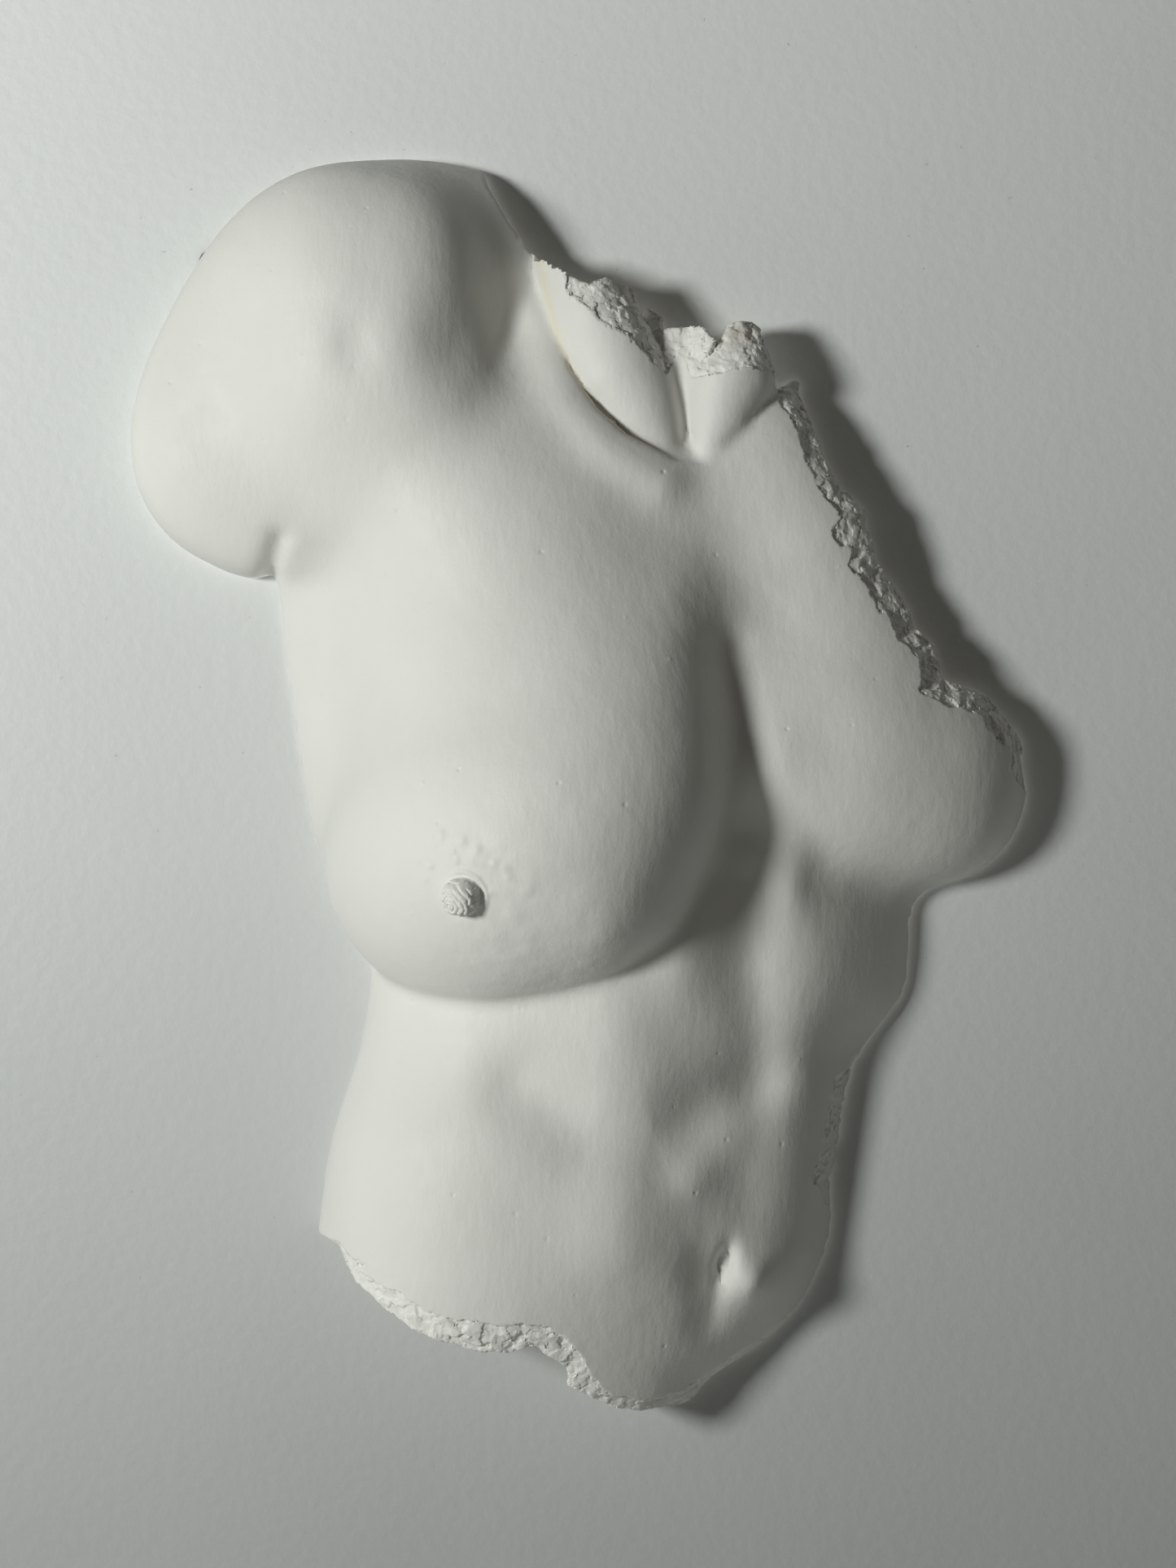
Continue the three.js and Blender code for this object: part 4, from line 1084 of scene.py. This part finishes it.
def timber_material():
    """Sawn softwood with growth rings drawn out along its length and a little plaster dust."""
    n = Nodes("timber")
    ring = n.wave((0.06, 1, 1), 55.0, 5.0, 4.0, 0.8, wave_type="RINGS", rings_direction="X")
    fibre = n.noise(0.0009, 5, scale=(0.03, 1, 1))
    pale = n.mix(fibre, (0.50, 0.33, 0.17), (0.62, 0.44, 0.25))
    colour = n.mix(n.spread(ring, 0.45, 0.95), pale, (0.36, 0.20, 0.09))
    dust = n.math("MULTIPLY", n.spread(n.noise(0.02, 6), 0.52, 0.7), 0.6)
    n.surface(n.mix(dust, colour, (0.70, 0.66, 0.58)), n.spread(fibre, 0.3, 0.7, 0.6, 0.85))
    n.bump(n.wave((1, 1, 0.2), 260.0, 1.5, 2.0), 0.00012)
    n.bump(fibre, 0.00025)
    return n.material


def metal_material(name, dark, bright, rough, tarnish):
    """Plated metal with fine scratches, duller in patches."""
    n = Nodes(name)
    patch = n.spread(n.noise(0.004, 4), 0.4, 0.65)
    scratch = n.noise(0.0003, 4, scale=(0.12, 1, 1))
    worn = n.spread(patch, 0, 1, rough, rough + 0.22)
    n.surface(n.mix(n.math("MULTIPLY", patch, tarnish), bright, dark),
              n.math("ADD", worn, n.math("MULTIPLY", scratch, 0.12)))
    n.shader.inputs["Metallic"].default_value = 1.0
    n.bump(scratch, 0.00003)
    return n.material


def felt_material():
    """Dense grey wool felt."""
    n = Nodes("felt")
    tangle = n.noise(0.0007, 6, distortion=1.5)
    n.surface(n.mix(tangle, (0.05, 0.052, 0.048), (0.16, 0.16, 0.15)), 1.0)
    n.shader.inputs["Sheen Weight"].default_value = 0.4
    n.shader.inputs["Sheen Roughness"].default_value = 0.6
    n.bump(tangle, 0.0006)
    return n.material


def wall_material():
    """Painted wall, faintly mottled, with painted shade low down that turns into painted light
    towards the top. It hides nothing from behind and lets the rear light by.
    """
    n = Nodes("wall_paint")
    cloud = n.spread(n.noise(0.25, 5), 0.25, 0.75)
    # Painted light and shade: a dark grey for the lower wall and a near white for the top.
    low = n.mix(cloud, (0.43, 0.45, 0.45), (0.47, 0.48, 0.48))
    high = n.mix(cloud, (0.84, 0.86, 0.86), (0.88, 0.90, 0.90))
    height = n.add("ShaderNodeSeparateXYZ", {"Vector": n.coordinates()}).outputs["Z"]
    # Painted light and shade: the colour runs from the shaded grey below to the lit white above.
    colour = n.mix(n.spread(height, *WALL_PAINTED_LIGHT_FADE), low, high)
    speck = n.spread(n.noise(0.004, 2), 0.73, 0.78)
    n.surface(n.mix(n.math("MULTIPLY", speck, 0.5), colour, (0.35, 0.35, 0.34)), 0.5)
    n.bump(n.noise(0.006, 5), 0.0003)
    facing = n.add("ShaderNodeNewGeometry").outputs["Backfacing"]
    shadow = n.add("ShaderNodeLightPath").outputs["Is Shadow Ray"]
    clear = n.add("ShaderNodeBsdfTransparent")
    blend = n.add("ShaderNodeMixShader")
    n.put(blend.inputs[0], n.math("MAXIMUM", facing, shadow))
    n.put(blend.inputs[1], n.shader.outputs[0])
    n.put(blend.inputs[2], clear.outputs[0])
    n.put(n.output.inputs["Surface"], blend.outputs[0])
    return n.material


def floor_material():
    """Pale painted floor."""
    n = Nodes("floor_paint")
    n.surface(n.mix(n.noise(0.4, 5), (0.60, 0.61, 0.60), (0.68, 0.68, 0.66)), 0.6)
    return n.material


# ---------------------------------------------------------------- stage, light and camera

FLOOR_DROP = 1.3
STAGE_HALF = 5.0
WALL_TOP = 3.4
# Heights in metres over which the wall's painted shade turns into painted light.
WALL_PAINTED_LIGHT_FADE = (-0.5, 0.3)
VIEW_DISTANCE = 1.6
LENS = 78.45
KEY_AT = Vector((-1.125, -1.275, 0.16))
KEY_SIZE = 0.36
KEY_POWER = 21.0
KEY_COLOUR = (0.985, 1.0, 0.965)
REAR_AT = Vector((0, 3.2, 0.2))
REAR_SIZE = 1.4
REAR_POWER = 55.0
REAR_COLOUR = (1.0, 0.99, 0.97)
SKY = (1.0, 0.93, 0.82)
SKY_STRENGTH = 0.05


def stage_sheet(name, corners, material):
    sheet = bpy.data.objects.new(name, mesh_from(name, corners, [(0, 1, 2, 3)]))
    bpy.context.scene.collection.objects.link(sheet)
    sheet.data.materials.append(material)


def make_stage():
    half, low, high = STAGE_HALF, -FLOOR_DROP, WALL_TOP
    stage_sheet("wall", [(-half, 0, low), (half, 0, low), (half, 0, high), (-half, 0, high)],
                wall_material())
    stage_sheet("floor", [(-half, -half, low), (half, -half, low), (half, half, low),
                          (-half, half, low)], floor_material())


def area_light(name, place, target, size, power, colour):
    lamp = bpy.data.lights.new(name, "AREA")
    lamp.shape = "DISK"
    lamp.size = size
    lamp.energy = power
    lamp.color = colour
    light = bpy.data.objects.new(name, lamp)
    bpy.context.scene.collection.objects.link(light)
    light.location = place
    light.rotation_mode = "QUATERNION"
    light.rotation_quaternion = (Vector(target) - Vector(place)).to_track_quat("-Z", "Y")


def make_light():
    centre = Vector(RELIEF_AT)
    front = centre + Vector((0, -0.05, 0))
    area_light("key", centre + KEY_AT, front, KEY_SIZE, KEY_POWER, KEY_COLOUR)
    area_light("rear", centre + REAR_AT, centre, REAR_SIZE, REAR_POWER, REAR_COLOUR)
    world = bpy.data.worlds.new("sky")
    world.use_nodes = True
    background = world.node_tree.nodes["Background"]
    background.inputs["Color"].default_value = (*SKY, 1)
    background.inputs["Strength"].default_value = SKY_STRENGTH
    bpy.context.scene.world = world
    bpy.context.scene.view_settings.view_transform = "Standard"


def make_camera():
    camera_data = bpy.data.cameras.new("camera")
    camera_data.lens = LENS
    camera = bpy.data.objects.new("camera", camera_data)
    bpy.context.scene.collection.objects.link(camera)
    camera.location = Vector(RELIEF_AT) + Vector((0, -VIEW_DISTANCE, 0))
    camera.rotation_euler = (math.pi / 2, 0, 0)
    bpy.context.scene.camera = camera


# ---------------------------------------------------------------- assembly


def build():
    make_camera()
    make_stage()
    make_light()
    torso_shell(plaster_material())
    scrim_lining(scrim_material())
    timber, dollop, felt = timber_material(), dollop_material(), felt_material()
    strap = metal_material("strap_steel", (0.34, 0.35, 0.36), (0.62, 0.63, 0.65), 0.3, 0.6)
    ring = metal_material("ring_steel", (0.40, 0.40, 0.41), (0.72, 0.72, 0.73), 0.2, 0.5)
    brass = metal_material("screw_brass", (0.30, 0.20, 0.09), (0.72, 0.52, 0.24), 0.28, 0.7)
    for number, level in enumerate(("upper", "lower")):
        sawn_batten(f"{level}_batten", timber)
        for place, side in enumerate(("left", "right")):
            seed = 70 + 10 * number + 5 * place
            plaster_wad(f"{level}_{side}_wad", dollop, seed)
            felt_pad(f"{level}_{side}_pad", felt, seed)
            slotted_screw(f"{side}_{level}_screw", brass, 25 + 47 * number + 31 * place)
    for side in ("left", "right"):
        hanger_strap(side, strap)
        hanger_ring(side, ring)


build()
